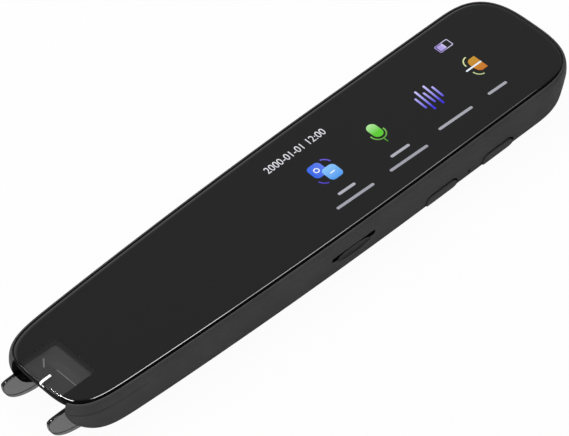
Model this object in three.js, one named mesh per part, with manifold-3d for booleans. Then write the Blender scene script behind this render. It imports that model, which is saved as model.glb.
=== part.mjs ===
// Scanning pen with a full-length cover glass, a bar display and a press-sensitive scan guide.
// Millimetres, +Z up. The pen lies on its back, nose towards -X, side buttons towards -Y.
// Along the pen, places are counted from the front edge of the cover glass, at zero.

import * as THREE from 'three';
import { mergeVertices } from 'three/addons/utils/BufferGeometryUtils.js';
import Module from 'manifold-3d';

const wasm = await Module();
wasm.setup();

// Driving dimensions of the whole pen
const glassLength = 154;
const glassTailHalfWidth = 15.9;
const glassNoseHalfWidth = 12.5;
const taperShare = 0.669;
const noseCapLength = 17.9;
const noseCapPower = 4.33;
const tailCapLength = 14.9;
const tailCapPower = 3.07;
const penThickness = 13.2;
const clearance = 0.3;
const overrun = 2;

// Housing walls
const wall = 1.4;
const sideBulge = 1.2;
const edgeRadius = 5;
const partingDepth = 3.2;
const partingChamfer = 0.18;
const noseSweep = 5.2;
const noseSweepLength = 31;
const tailSweep = 4.2;
const tailSweepLength = 31;
const sweepPower = 1.3;
const tongueThickness = 0.65;
const tongueHeight = 0.6;

// Rim and deck of the upper frame
const rimThickness = 0.26;
const rimShoulder = 0.4;
const rimRound = 0.16;
const rimDrop = 0.26;
const deckThickness = 1.3;

// Cover glass and what bonds it
const glassThickness = 0.9;
const glassEdgeDrop = 0.42;
const glassEdgeWidth = 1.3;
const tapeThickness = 0.2;
const glueMargin = 0.4;
const glueWidth = 1.4;

// Display stack
const displayLength = 70;
const displaySetback = 12.5;
const displaySideGap = 0.58;
const displayCorner = 0.8;
const panelThickness = 1.2;
const backlightThickness = 1.3;
const backlightInset = 0.5;
const panSheet = 0.3;
const panFlange = 1.1;
const bayMargin = 0.45;

// Scan guide: two side fins and the sloped window between them
const finSpacing = 14.7;
const finThickness = 0.9;
const finReach = 4.2;
const finTopDepth = 3.9;
const finLift = 0.2;
const finHeelLength = 4.6;
const finHeelEnd = 8.4;
const finTipShares = { reach: 1 / 3, upper: 2 / 3, lower: 1 / 4 };
const windowFront = 2.2;
const windowBack = 7.6;
const windowThickness = 1.1;
const guideTravel = 0.8;
const armEnd = 17;
const footLength = 1.5;
const footWidth = 3;
const mouthDepth = 10.4;
const lipHeight = 1.45;
const viewLength = 9.1;
const viewWidth = 12;
const viewFront = 0.5;
const viewCorner = 1.5;

// Return springs and the switch behind the guide
const springWire = 0.4;
const springRadius = 1.15;
const springTurns = 5;
const springPitch = 0.92;
const springPinRadius = 0.6;
const springPinLength = 2.6;
const springHeight = 7.6;
const ribThickness = 1.1;
const tipSwitchLength = 3;
const tipSwitchWidth = 2.8;
const tipSwitchHeight = 3.4;
const tipSwitchGap = 0.5;
const tipPlungerRadius = 0.5;
const tipPlungerReach = 0.9;
const tipPlungerTravel = 0.4;

// Scan optics
const opticsHalfWidth = 6.3;
const opticsWall = 1.1;
const opticsEnd = 28;
const opticsRoofGap = 0.4;
const opticsLintel = 0.8;
const opticsRoofOpening = 2.4;
const opticsRibWidth = 0.7;
const opticsRibLength = 3.2;
const lensHeight = 6;
const barrelRadius = 2.5;
const barrelBore = 1.9;
const barrelLip = 1.2;
const barrelLipLength = 0.7;
const barrelLength = 5.4;
const lensRadius = 1.55;
const lensEdge = 0.9;
const lensCrown = 0.35;
const tunnelThroat = 4.2;
const sensorSize = 3.4;
const sensorMargin = 0.6;
const sensorThickness = 0.6;
const sensorBoardThickness = 0.8;
const sensorBoardWidth = 12;
const sensorBoardTopGap = 0.5;
const ledBoardThickness = 0.6;
const ledBoardLength = 1.8;
const ledBoardWidth = 9.4;
const ledBoardSetback = 2.1;
const ledLength = 1.3;
const ledWidth = 2;
const ledHeight = 0.8;
const ledSpacing = 7;

// Battery
const batteryEndGap = 2.6;
const batteryWidth = 21;
const batteryThickness = 7.6;
const batteryCorner = 2;
const batteryTapeThickness = 0.3;
const batteryTapeShare = 0.8;
const batteryLeadWidth = 4;
const batteryLeadPlace = -4;
const batteryLeadHeight = 8.1;

// Main board and what it carries
const boardLead = 3.5;
const boardInset = 1.4;
const boardBottom = 6.3;
const boardThickness = 0.8;
const processorReach = 9.5;
const processorLength = 17;
const processorWidth = 18;
const shieldHeight = 1.6;
const shieldCorner = 0.6;
const shieldBevel = 0.25;
const canSpacing = 1.5;
const powerLength = 12;
const powerWidth = 14;
const powerHeight = 1.3;
const wirelessLength = 12;
const wirelessWidth = 13;
const wirelessHeight = 1.7;
const memoryReach = 12;
const memoryLength = 13;
const memoryWidth = 11.5;
const memoryHeight = 1;
const memoryPlace = 3;

// Memory card slot and socket
const slotReach = 10.5;
const slotLength = 13.4;
const slotHeight = 0.95;
const cardRise = 0.95;
const cardSocketSize = 14;
const cardSocketHeight = 1.9;
const cardSocketInset = 0.9;
const cardDepth = 12;
const scoopLength = 8.6;
const scoopHeight = 2.6;
const scoopDepth = 0.8;
const scoopDrop = 0.65;

// Charging port
const portWidth = 8.94;
const portHeight = 3.2;
const portLength = 7.3;
const portSkin = 0.35;
const portInset = 2.6;
const tongueWidth = 6.6;
const tongueDepth = 5;
const portTongueThickness = 0.7;

// Speaker
const speakerSetback = 28.5;
const speakerLength = 15;
const speakerWidth = 11;
const speakerHeight = 3;
const speakerCorner = 1.5;
const speakerFoam = 0.4;
const speakerFoamWidth = 1.5;
const grilleSlots = 6;
const grilleSlotWidth = 0.9;
const grilleSlotLength = 6;
const grillePitch = 1.9;

// Side buttons, their switches and the microphone
const frontButtonSetback = 47.4;
const rearButtonSetback = 28.9;
const buttonLength = 9.9;
const buttonHeight = 3.5;
const buttonLevel = 4.05;
const buttonProud = 0.35;
const buttonTravel = 0.35;
const buttonFlange = 0.5;
const buttonFlangeThickness = 0.6;
const buttonFlangeInset = 3.05;
const switchLength = 4.6;
const switchDepth = 2;
const switchHeight = 2.4;
const switchNose = 0.6;
const switchPlungerRadius = 0.6;
const switchPlungerDrop = 1.3;
const switchPlungerTravel = 0.2;
const microphoneSetback = 38.4;
const microphoneLevel = 4.85;
const microphoneHole = 0.4;
const microphoneLength = 3;
const microphoneWidth = 2.2;
const microphoneHeight = 1;
const microphoneInset = 1.7;

// Flat leads and the aerial
const leadThickness = 0.25;
const cameraLeadWidth = 3.6;
const cameraLeadPlace = 1.8;
const cameraLeadTab = 3;
const displayLeadWidth = 5;
const displayLeadPlace = 7.3;
const displayLeadBow = 1.2;
const leadLanding = 4;
const aerialThickness = 0.25;
const aerialBottom = 7.6;
const aerialHeight = 1.9;
const aerialReach = 15;

// Screws and their bosses
const noseScrewPlace = 27;
const noseScrewSide = 10.6;
const middleScrewLead = 4;
const middleScrewSide = 12.3;
const tailScrewSetback = 7.2;
const tailScrewSide = 8.4;
const screwShankRadius = 0.7;
const screwShankLength = 4.4;
const screwHeadRadius = 1.25;
const screwHeadHeight = 0.6;
const screwDimple = 0.3;
const screwDimpleRadius = 0.45;
const bossRadius = 2;
const boardScrewReach = 2.4;
const boardScrewSide = 11.6;
const farBoardScrewSetback = 34;
const farBoardScrewSide = 11.8;

// Counts
const capSteps = 9;
const flankSteps = 9;
const edgeSteps = 6;
const innerEdgeSteps = 4;
const roundSides = 14;
const screwSides = 8;
const helixSteps = 8;
const wireSides = 5;
const curveSteps = 6;

// Levels and places that follow from the driving dimensions
const partingLevel = penThickness - partingDepth;
const wallMiddle = (edgeRadius + partingLevel) / 2;
const glassBottom = penThickness - glassThickness;
const deckTop = glassBottom - tapeThickness;
const deckBottom = deckTop - deckThickness;
const floorLevel = wall;
const boardTop = boardBottom + boardThickness;
const finTop = penThickness - finTopDepth;
const finInner = finSpacing / 2 - finThickness / 2;
const finOuter = finSpacing / 2 + finThickness / 2;
const mouthHalfWidth = finOuter + clearance;
const armBottom = floorLevel + clearance;
const bodyFront = -finReach;
const bodyBack = glassLength + sideBulge;
const opticsTop = deckBottom - opticsRoofGap;
const windowSlope = (windowBack - windowFront) / (finTop - finLift);
const windowRun = windowThickness * Math.hypot(1, windowSlope);
const wallInside = sideBulge - wall;
const screwSeat = deckTop - screwHeadHeight - screwDimple / 2;
const screwEnd = screwSeat - screwShankLength;
const portLevel = boardBottom + boardThickness / 2;

// Places along the pen: the display is set from the tail, and the board and the battery from the display
const taperLength = glassLength * taperShare;
const displayStart = glassLength - displaySetback - displayLength;
const displayWidth = (flankHalfWidth(displayStart) - glueMargin - glueWidth - displaySideGap) * 2;
const boardStart = displayStart - boardLead;
const slotPlace = boardStart + slotReach;
const processorStart = slotPlace + processorReach;
const powerStart = processorStart + processorLength + canSpacing;
const wirelessStart = powerStart + powerLength + canSpacing;
const memoryStart = processorStart + memoryReach;
const speakerStart = glassLength - speakerSetback;
const microphonePlace = glassLength - microphoneSetback;
const buttonPlaces = [glassLength - frontButtonSetback, glassLength - rearButtonSetback];
const middleScrewPlace = boardStart - middleScrewLead;
const tailScrewPlace = glassLength - tailScrewSetback;
const frameScrewPlaces = [
  [noseScrewPlace, noseScrewSide], [middleScrewPlace, middleScrewSide], [tailScrewPlace, tailScrewSide],
];
const boardScrewPlaces = [
  [boardStart + boardScrewReach, boardScrewSide], [glassLength - farBoardScrewSetback, farBoardScrewSide],
];
const sensorBack = opticsEnd + sensorBoardThickness;
const batteryStart = sensorBack + batteryEndGap;
const batteryLength = middleScrewPlace - batteryEndGap - batteryStart;

// Turns a closed geometry into a solid that can be cut and joined
function solidOf(geometry) {
  const bare = geometry.clone();
  bare.deleteAttribute('normal');
  bare.deleteAttribute('uv');
  bare.clearGroups();
  const welded = mergeVertices(bare);
  return new wasm.Manifold(new wasm.Mesh({
    numProp: 3,
    vertProperties: Float32Array.from(welded.attributes.position.array),
    triVerts: Uint32Array.from(welded.index.array),
  }));
}

// Turns a cut solid back into a geometry
function geometryOf(solid) {
  const mesh = solid.getMesh();
  const geometry = new THREE.BufferGeometry();
  geometry.setAttribute('position', new THREE.BufferAttribute(Float32Array.from(mesh.vertProperties), 3));
  geometry.setIndex(new THREE.BufferAttribute(Uint32Array.from(mesh.triVerts), 1));
  geometry.computeVertexNormals();
  return geometry;
}

// Joins every geometry in the list, then takes every cutter away
function carve(parts, cutters = []) {
  let solid = parts.map(solidOf).reduce((sum, next) => sum.add(next));
  for (const cutter of cutters) solid = solid.subtract(solidOf(cutter));
  return geometryOf(solid);
}

// Keeps what two geometries share
function common(first, second) {
  return geometryOf(solidOf(first).intersect(solidOf(second)));
}

// Half width of the cover glass along its straight, slightly tapered flank
function flankHalfWidth(place) {
  const share = THREE.MathUtils.clamp(place / taperLength, 0, 1);
  const eased = 1 - (1 - share) ** 2;
  return glassNoseHalfWidth + (glassTailHalfWidth - glassNoseHalfWidth) * eased;
}

// One side of the glass outline from nose to tail: a squarish nose cap, the flank, a rounder tail cap
function sideOutline() {
  const points = [];
  for (let step = 1; step < capSteps; step += 1) {
    const angle = (Math.PI / 2) * (step / capSteps);
    const place = noseCapLength * (1 - Math.cos(angle) ** (2 / noseCapPower));
    points.push([place, flankHalfWidth(place) * Math.sin(angle) ** (2 / noseCapPower)]);
  }
  const flankEnd = glassLength - tailCapLength;
  for (let step = 0; step <= flankSteps; step += 1) {
    const place = THREE.MathUtils.lerp(noseCapLength, flankEnd, step / flankSteps);
    points.push([place, flankHalfWidth(place)]);
  }
  for (let step = capSteps - 1; step > 0; step -= 1) {
    const angle = (Math.PI / 2) * (step / capSteps);
    const place = flankEnd + tailCapLength * Math.cos(angle) ** (2 / tailCapPower);
    points.push([place, flankHalfWidth(place) * Math.sin(angle) ** (2 / tailCapPower)]);
  }
  return points;
}

// The closed outline of the glass, counterclockwise seen from above, and its outward normals
const halfOutline = sideOutline();
const outline = [
  new THREE.Vector2(0, 0),
  ...halfOutline.map(([place, side]) => new THREE.Vector2(place, -side)),
  new THREE.Vector2(glassLength, 0),
  ...halfOutline.toReversed().map(([place, side]) => new THREE.Vector2(place, side)),
];
const outlineNormals = outline.map((point, index) => {
  const before = outline.at(index - 1);
  const after = outline[(index + 1) % outline.length];
  return new THREE.Vector2(after.y - before.y, before.x - after.x).normalize();
});

// The outline grown by an offset
function outlineAt(offset) {
  return outline.map((point, index) => point.clone().addScaledVector(outlineNormals[index], offset));
}

// A ring of the housing: the grown outline at one height, drawn in at both ends below the parting line
function ring(offset, level) {
  const depthShare = THREE.MathUtils.clamp((partingLevel - level) / partingLevel, 0, 1) ** sweepPower;
  return outlineAt(offset).map((point) => {
    const noseShare = THREE.MathUtils.clamp(1 - point.x / noseSweepLength, 0, 1) ** 2;
    const tailShare = THREE.MathUtils.clamp(1 - (glassLength - point.x) / tailSweepLength, 0, 1) ** 2;
    const shift = (noseSweep * noseShare - tailSweep * tailShare) * depthShare;
    return new THREE.Vector3(point.x + shift, point.y, level);
  });
}

// The plan of such a ring, for flat pieces that follow the wall
function planAt(offset, level) {
  return ring(offset, level).map((point) => new THREE.Vector2(point.x, point.y));
}

// A closed solid through rings of equal count, with flat ends, or joined end to end when looped
function loft(rings, looped = false) {
  const count = rings[0].length;
  const positions = rings.flat().flatMap((point) => point.toArray());
  const faces = [];
  const joins = looped ? rings.length : rings.length - 1;
  for (let level = 0; level < joins; level += 1) {
    const low = level * count;
    const high = ((level + 1) % rings.length) * count;
    for (let side = 0; side < count; side += 1) {
      const next = (side + 1) % count;
      faces.push(low + side, low + next, high + next, low + side, high + next, high + side);
    }
  }
  if (!looped) {
    for (const [end, flip] of [[0, true], [rings.length - 1, false]]) {
      const centre = positions.length / 3;
      const middle = rings[end].reduce((sum, point) => sum.add(point), new THREE.Vector3());
      positions.push(...middle.divideScalar(count).toArray());
      for (let side = 0; side < count; side += 1) {
        const here = end * count + side;
        const next = end * count + ((side + 1) % count);
        faces.push(centre, flip ? next : here, flip ? here : next);
      }
    }
  }
  const geometry = new THREE.BufferGeometry();
  geometry.setAttribute('position', new THREE.Float32BufferAttribute(positions, 3));
  geometry.setIndex(faces);
  geometry.computeVertexNormals();
  return geometry;
}

// Rings of the rounded lower edge, from the underside up to the parting line
function edgeRings(offset, radius, bottom, steps) {
  const rings = [];
  for (let step = 0; step <= steps; step += 1) {
    const angle = (Math.PI / 2) * (step / steps);
    rings.push(ring(offset - radius * (1 - Math.sin(angle)), bottom + radius * (1 - Math.cos(angle))));
  }
  return rings;
}

// The outer form of the lower housing as a solid block, grown or shrunk by an offset
function housingBlock(grow) {
  const rings = edgeRings(sideBulge + grow, edgeRadius + grow, -grow, edgeSteps);
  return loft([...rings, ring(sideBulge + grow, wallMiddle), ring(sideBulge + grow, partingLevel)]);
}

// A rectangle with round corners, drawn round the origin
function roundedRectangle(length, width, corner) {
  const shape = new THREE.Shape();
  const right = length / 2;
  const top = width / 2;
  shape.moveTo(-right + corner, -top);
  shape.lineTo(right - corner, -top);
  shape.absarc(right - corner, -top + corner, corner, -Math.PI / 2, 0);
  shape.lineTo(right, top - corner);
  shape.absarc(right - corner, top - corner, corner, 0, Math.PI / 2);
  shape.lineTo(-right + corner, top);
  shape.absarc(-right + corner, top - corner, corner, Math.PI / 2, Math.PI);
  shape.lineTo(-right, -top + corner);
  shape.absarc(-right + corner, -top + corner, corner, Math.PI, Math.PI * 1.5);
  return shape;
}

// A shape raised straight up from its plane
function raise(shape, height, steps = curveSteps) {
  return new THREE.ExtrudeGeometry(shape, { depth: height, bevelEnabled: false, curveSegments: steps });
}

// A flat block with round corners, standing on one level
function slab(start, length, width, corner, bottom, height, side = 0) {
  const shape = roundedRectangle(length, width, corner);
  return raise(shape, height, curveSteps / 2).translate(start + length / 2, side, bottom);
}

// A sharp-edged block from its start, its middle across, and its bottom
function block(start, length, side, width, bottom, height) {
  return new THREE.BoxGeometry(length, width, height)
    .translate(start + length / 2, side, bottom + height / 2);
}

// A profile drawn as place and height, carried across the pen from one side to the other
function acrossPen(shape, from, to) {
  const depth = to - from;
  return new THREE.ExtrudeGeometry(shape, { depth, bevelEnabled: false, curveSegments: curveSteps })
    .rotateX(Math.PI / 2).translate(0, to, 0);
}

// A turned piece, its profile given as radius and height above the bottom
function turned(profile, sides = roundSides) {
  const points = profile.map(([radius, height]) => new THREE.Vector2(radius, height));
  return new THREE.LatheGeometry(points, sides).rotateX(Math.PI / 2);
}

// An upright pin
function pin(radius, place, side, bottom, height, sides = roundSides) {
  return new THREE.CylinderGeometry(radius, radius, height, sides).rotateX(Math.PI / 2)
    .translate(place, side, bottom + height / 2);
}

// A pin that points along the pen
function lyingPin(radius, start, length, side, level, sides = roundSides) {
  return new THREE.CylinderGeometry(radius, radius, length, sides).rotateZ(Math.PI / 2)
    .translate(start + length / 2, side, level);
}

// The outline of a flat lead seen from the side, along a path of bends
function leadOutline(path) {
  const points = path.map(([place, level]) => new THREE.Vector2(place, level));
  const sides = [1, -1].map((hand) => points.map((point, index) => {
    const before = points[Math.max(index - 1, 0)];
    const after = points[Math.min(index + 1, points.length - 1)];
    const inward = point.clone().sub(before).normalize();
    const outward = after.clone().sub(point).normalize();
    const along = inward.clone().add(outward).normalize();
    const ends = index === 0 || index === points.length - 1;
    const stretch = ends ? 1 : along.dot(inward);
    const reach = (hand * leadThickness) / 2 / stretch;
    return point.clone().add(new THREE.Vector2(-along.y, along.x).multiplyScalar(reach));
  }));
  return new THREE.Shape([...sides[0], ...sides[1].reverse()]);
}

// A flat lead of one width along a path of bends
function lead(path, width, side) {
  return acrossPen(leadOutline(path), side - width / 2, side + width / 2);
}

const finish = {
  shell: new THREE.MeshStandardMaterial({ color: 0x39393a, roughness: 0.55, metalness: 0 }),
  frame: new THREE.MeshStandardMaterial({ color: 0x3b3b3c, roughness: 0.5, metalness: 0 }),
  glass: new THREE.MeshStandardMaterial({ color: 0x18181a, roughness: 0.08, metalness: 0 }),
  smoky: new THREE.MeshStandardMaterial({ color: 0x6d6d70, roughness: 0.15, metalness: 0 }),
  black: new THREE.MeshStandardMaterial({ color: 0x161617, roughness: 0.7, metalness: 0 }),
  foam: new THREE.MeshStandardMaterial({ color: 0x202022, roughness: 0.95, metalness: 0 }),
  steel: new THREE.MeshStandardMaterial({ color: 0xb9bcc0, roughness: 0.35, metalness: 1 }),
  board: new THREE.MeshStandardMaterial({ color: 0x1d5a38, roughness: 0.5, metalness: 0 }),
  copper: new THREE.MeshStandardMaterial({ color: 0xb8782f, roughness: 0.4, metalness: 0 }),
  cell: new THREE.MeshStandardMaterial({ color: 0xb7bac0, roughness: 0.45, metalness: 0.6 }),
  white: new THREE.MeshStandardMaterial({ color: 0xe8e8e0, roughness: 0.6, metalness: 0 }),
  lens: new THREE.MeshStandardMaterial({ color: 0x4b5a6e, roughness: 0.05, metalness: 0 }),
};

const pen = new THREE.Group();

// Names a geometry, gives it its finish and adds it to the pen
function add(name, geometry, material) {
  const mesh = new THREE.Mesh(geometry, material);
  mesh.name = name;
  pen.add(mesh);
  return mesh;
}

// A long hole with round ends through the side wall, or a key that fills it
function sidePill(place, length, level, height, from, to) {
  return acrossPen(roundedRectangle(length, height, height / 2), from, to).translate(place, 0, level);
}

// Lower shell: a tub lofted round its edge, with a tongue, bosses, ribs and openings
function lowerShell() {
  const tongueOffset = wallInside + tongueThickness;
  const tub = loft([
    ...edgeRings(sideBulge, edgeRadius, 0, edgeSteps),
    ring(sideBulge, wallMiddle),
    ring(sideBulge, partingLevel - partingChamfer),
    ring(sideBulge - partingChamfer, partingLevel),
    ring(tongueOffset, partingLevel),
    ring(tongueOffset, partingLevel + tongueHeight),
    ring(wallInside, partingLevel + tongueHeight),
    ring(wallInside, wallMiddle),
    ...edgeRings(wallInside, edgeRadius - wall, floorLevel, innerEdgeSteps).reverse(),
  ]);

  // Bosses and ribs start inside the floor, and the housing block trims them to the wall
  const root = floorLevel - wall / 2;
  const grown = [];
  const holes = [];
  for (const [place, side] of frameScrewPlaces) {
    for (const hand of [1, -1]) {
      grown.push(pin(bossRadius, place, hand * side, root, deckBottom - root));
      holes.push(pin(screwShankRadius + clearance, place, hand * side, screwEnd - clearance, deckBottom));
    }
  }
  for (const hand of [1, -1]) {
    grown.push(pin(
      bossRadius + clearance * 2, tailScrewPlace, hand * tailScrewSide, root, boardBottom - root,
    ));
  }
  for (const [place, side] of boardScrewPlaces) {
    grown.push(pin(bossRadius, place, side, root, boardBottom - root));
    holes.push(pin(screwShankRadius + clearance, place, side, floorLevel, boardBottom));
  }
  const footFront = armEnd - footLength;
  const ribTop = partingLevel;
  const stopSide = mouthHalfWidth + footWidth;
  const springEnd = armEnd + springTurns * springPitch + springWire;
  const springRib = springEnd + guideTravel + clearance;
  for (const hand of [1, -1]) {
    grown.push(block(
      footFront - clearance - ribThickness, ribThickness,
      hand * (mouthHalfWidth + stopSide) / 2, stopSide - mouthHalfWidth, root, ribTop - root,
    ));
    grown.push(block(
      springRib, ribThickness, hand * (finInner + footWidth / 2), footWidth, root, ribTop - root,
    ));
  }
  const inside = solidOf(housingBlock(-wall / 2));
  const column = (geometry) => solidOf(geometry).intersect(inside);
  let solid = solidOf(tub);
  for (const geometry of grown) solid = solid.add(column(geometry));

  // Above the parting line the bosses stand free of the wall, so they are added whole
  for (const [place, side] of frameScrewPlaces) {
    for (const hand of [1, -1]) {
      solid = solid.add(solidOf(
        pin(bossRadius, place, hand * side, partingLevel - wall, deckBottom - partingLevel + wall),
      ));
    }
  }

  // Openings: nose mouth, card slot with its finger scoop, button holes, microphone, port, speaker
  const outerSide = -flankHalfWidth(slotPlace) - sideBulge;
  const slotLevel = boardTop + cardRise;
  const deep = sideBulge + wall * 2 + overrun;
  holes.push(block(
    bodyFront - overrun, mouthDepth - bodyFront + overrun, 0, mouthHalfWidth * 2,
    -overrun, penThickness + overrun * 2,
  ));
  holes.push(sidePill(slotPlace, slotLength, slotLevel, slotHeight, outerSide - overrun, outerSide + deep));
  holes.push(new THREE.SphereGeometry(1, roundSides, roundSides / 2)
    .scale(scoopLength / 2, scoopDepth, scoopHeight / 2)
    .translate(slotPlace, outerSide, slotLevel - scoopDrop));
  for (const place of buttonPlaces) {
    const side = -flankHalfWidth(place) - sideBulge;
    holes.push(sidePill(
      place, buttonLength + clearance * 2, buttonLevel, buttonHeight + clearance * 2,
      side - overrun, side + deep,
    ));
  }
  const micSide = -flankHalfWidth(microphonePlace) - sideBulge;
  holes.push(new THREE.CylinderGeometry(microphoneHole, microphoneHole, deep * 2, roundSides / 2)
    .translate(microphonePlace, micSide, microphoneLevel));
  holes.push(portStadium(
    portWidth + clearance * 2, portHeight + clearance * 2, glassLength - wall * 2, wall * 4,
  ).translate(0, 0, portLevel));
  const grilleMiddle = speakerStart + speakerLength / 2;
  for (let slot = 0; slot < grilleSlots; slot += 1) {
    const place = grilleMiddle + (slot - (grilleSlots - 1) / 2) * grillePitch;
    holes.push(slab(
      place - grilleSlotWidth / 2, grilleSlotWidth, grilleSlotLength, grilleSlotWidth / 2,
      -overrun, floorLevel + overrun * 2,
    ));
  }
  for (const hole of holes) solid = solid.subtract(solidOf(hole));
  return geometryOf(solid);
}

// A stadium section carried along the pen, for the charging port
function portStadium(width, height, start, length) {
  const shape = roundedRectangle(width, height, height / 2);
  return raise(shape, length).rotateX(Math.PI / 2).rotateZ(Math.PI / 2).translate(start, 0, 0);
}

// Upper frame: the lid-like ring that carries the glass, open over the display and the scan window
function upperFrame() {
  const grip = wallInside + tongueThickness + clearance;
  const shoulder = penThickness - rimShoulder;
  const rimTop = penThickness - rimDrop;
  const rimOuter = clearance + rimThickness;
  const lid = loft([
    ring(wallInside, deckBottom),
    ring(wallInside, partingLevel + tongueHeight + clearance),
    ring(grip, partingLevel + tongueHeight + clearance),
    ring(grip, partingLevel),
    ring(sideBulge - partingChamfer, partingLevel),
    ring(sideBulge, partingLevel + partingChamfer),
    ring(sideBulge - rimRound / 2, (partingLevel + shoulder) / 2),
    ring(rimOuter + rimRound, shoulder),
    ring(rimOuter, rimTop),
    ring(clearance, rimTop),
    ring(clearance, deckTop),
  ]);
  const bayLength = displayLength + bayMargin * 2;
  const cutBottom = deckBottom - overrun;
  const cutHeight = deckThickness + overrun * 2;
  const cutters = [
    slab(
      displayStart - bayMargin, bayLength, displayWidth + bayMargin * 2, displayCorner,
      cutBottom, cutHeight,
    ),
    slab(viewFront, viewLength, viewWidth, viewCorner, cutBottom, cutHeight),
    block(
      bodyFront - overrun, overrun - bodyFront + wall, 0, mouthHalfWidth * 2, 0, penThickness - lipHeight,
    ),
  ];
  for (const [place, side] of frameScrewPlaces) {
    for (const hand of [1, -1]) {
      cutters.push(pin(screwShankRadius + clearance, place, hand * side, cutBottom, cutHeight));
      cutters.push(pin(screwHeadRadius + clearance, place, hand * side, screwSeat, deckThickness));
    }
  }
  return carve([lid], cutters);
}

// Cover glass with its rounded upper edge
function coverGlass() {
  const edge = [];
  const steps = curveSteps / 2;
  for (let step = 0; step <= steps; step += 1) {
    const angle = (Math.PI / 2) * (step / steps);
    edge.push(ring(
      -glassEdgeWidth * (1 - Math.cos(angle)),
      penThickness - glassEdgeDrop * (1 - Math.sin(angle)),
    ));
  }
  return loft([ring(0, glassBottom), ...edge]);
}

// Double-sided tape that bonds the glass to the deck, all the way round
function glassTape() {
  return loft([
    ring(-glueMargin, glassBottom),
    ring(-glueMargin - glueWidth, glassBottom),
    ring(-glueMargin - glueWidth, deckTop),
    ring(-glueMargin, deckTop),
  ], true);
}

add('lower_shell', lowerShell(), finish.shell);
add('upper_frame', upperFrame(), finish.frame);
add('cover_glass', coverGlass(), finish.glass);
add('glass_tape', glassTape(), finish.foam);

// Display stack: bonding film, panel, backlight and the steel pan that holds them against the deck
add('display_film', slab(
  displayStart, displayLength, displayWidth, displayCorner, deckTop, tapeThickness,
), finish.smoky);
const panelBottom = deckTop - panelThickness;
add('display_panel', slab(
  displayStart, displayLength, displayWidth, displayCorner, panelBottom, panelThickness,
), finish.glass);
const backlightBottom = panelBottom - backlightThickness;
add('display_backlight', slab(
  displayStart + backlightInset, displayLength - backlightInset * 2, displayWidth - backlightInset * 2,
  displayCorner, backlightBottom, backlightThickness,
), finish.white);

// The pan is a hat section: floor, two walls and two flanges under the deck
function displayPan() {
  const inner = displayWidth / 2 - backlightInset + clearance;
  const outer = inner + panSheet;
  const flange = outer + panFlange;
  const floor = backlightBottom - panSheet;
  const half = [
    [outer, floor], [outer, deckBottom - panSheet], [flange, deckBottom - panSheet], [flange, deckBottom],
    [inner, deckBottom], [inner, backlightBottom],
  ];
  const mirrored = half.toReversed().map(([side, level]) => [-side, level]);
  const points = [...half, ...mirrored].map(([side, level]) => new THREE.Vector2(side, level));
  return raise(new THREE.Shape(points), displayLength - backlightInset * 2)
    .rotateX(Math.PI / 2).rotateZ(Math.PI / 2)
    .translate(displayStart + backlightInset, 0, 0);
}
add('display_pan', displayPan(), finish.steel);

// Scan guide: two fins that run back as arms, with the sloped scan window moulded between them
function finProfile() {
  const shape = new THREE.Shape();
  const tipLevel = finTop - finThickness;
  shape.moveTo(armEnd, finTop);
  shape.lineTo(-finReach + finThickness * 2, finTop);
  shape.quadraticCurveTo(-finReach, finTop, -finReach, tipLevel);
  shape.bezierCurveTo(
    -finReach, tipLevel * finTipShares.upper, -finReach * finTipShares.reach, tipLevel * finTipShares.lower,
    finHeelLength, finLift,
  );
  shape.lineTo(finHeelEnd, finLift);
  shape.lineTo(finHeelEnd, armBottom);
  shape.lineTo(armEnd, armBottom);
  return shape;
}

function scanGuide() {
  const parts = [];
  for (const hand of [1, -1]) {
    const [from, to] = hand > 0 ? [finInner, finOuter] : [-finOuter, -finInner];
    parts.push(acrossPen(finProfile(), from, to));
    parts.push(block(
      armEnd - footLength, footLength, hand * (finInner + footWidth / 2), footWidth,
      armBottom, finTop - armBottom,
    ));
    parts.push(lyingPin(
      springPinRadius, armEnd - footLength / 2, springPinLength + footLength / 2,
      hand * springSide, springHeight, roundSides / 2,
    ));
  }
  const pane = new THREE.Shape([
    new THREE.Vector2(windowBack, finLift),
    new THREE.Vector2(windowBack + windowRun, finLift),
    new THREE.Vector2(windowFront + windowRun, finTop),
    new THREE.Vector2(windowFront, finTop),
  ]);
  parts.push(acrossPen(pane, -finSpacing / 2, finSpacing / 2));
  return carve(parts);
}

const springSide = finInner + footWidth / 2;
add('scan_guide', scanGuide(), finish.smoky);

// A compression spring: rings of one unbroken wire that winds along the pen
function compressionSpring() {
  const stations = springTurns * helixSteps;
  const rings = [];
  for (let step = 0; step <= stations; step += 1) {
    const angle = (step / helixSteps) * Math.PI * 2;
    const along = new THREE.Vector3(springPitch / (Math.PI * 2), -Math.sin(angle) * springRadius,
      Math.cos(angle) * springRadius).normalize();
    const outward = new THREE.Vector3(0, Math.cos(angle), Math.sin(angle));
    const side = new THREE.Vector3().crossVectors(along, outward);
    const centre = new THREE.Vector3((step / helixSteps) * springPitch, 0, 0)
      .addScaledVector(outward, springRadius);
    const section = [];
    for (let corner = 0; corner < wireSides; corner += 1) {
      const turn = (corner / wireSides) * Math.PI * 2;
      section.push(centre.clone()
        .addScaledVector(outward, Math.cos(turn) * springWire / 2)
        .addScaledVector(side, Math.sin(turn) * springWire / 2));
    }
    rings.push(section);
  }
  return rings;
}

// Least distance between two turns, measured on the points of rings at least half a turn apart
function leastGap(rings) {
  let least = Infinity;
  rings.forEach((section, index) => {
    const later = rings.slice(index + helixSteps / 2).flat();
    for (const point of section) {
      for (const other of later) least = Math.min(least, point.distanceTo(other));
    }
  });
  return least;
}
const springRings = compressionSpring();
console.log(`least gap of a spring to itself: ${leastGap(springRings).toFixed(2)} mm`);
for (const [name, hand] of [['guide_spring_left', 1], ['guide_spring_right', -1]]) {
  const mesh = add(name, loft(springRings), finish.steel);
  mesh.position.set(armEnd + springWire, hand * springSide, springHeight);
}

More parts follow.
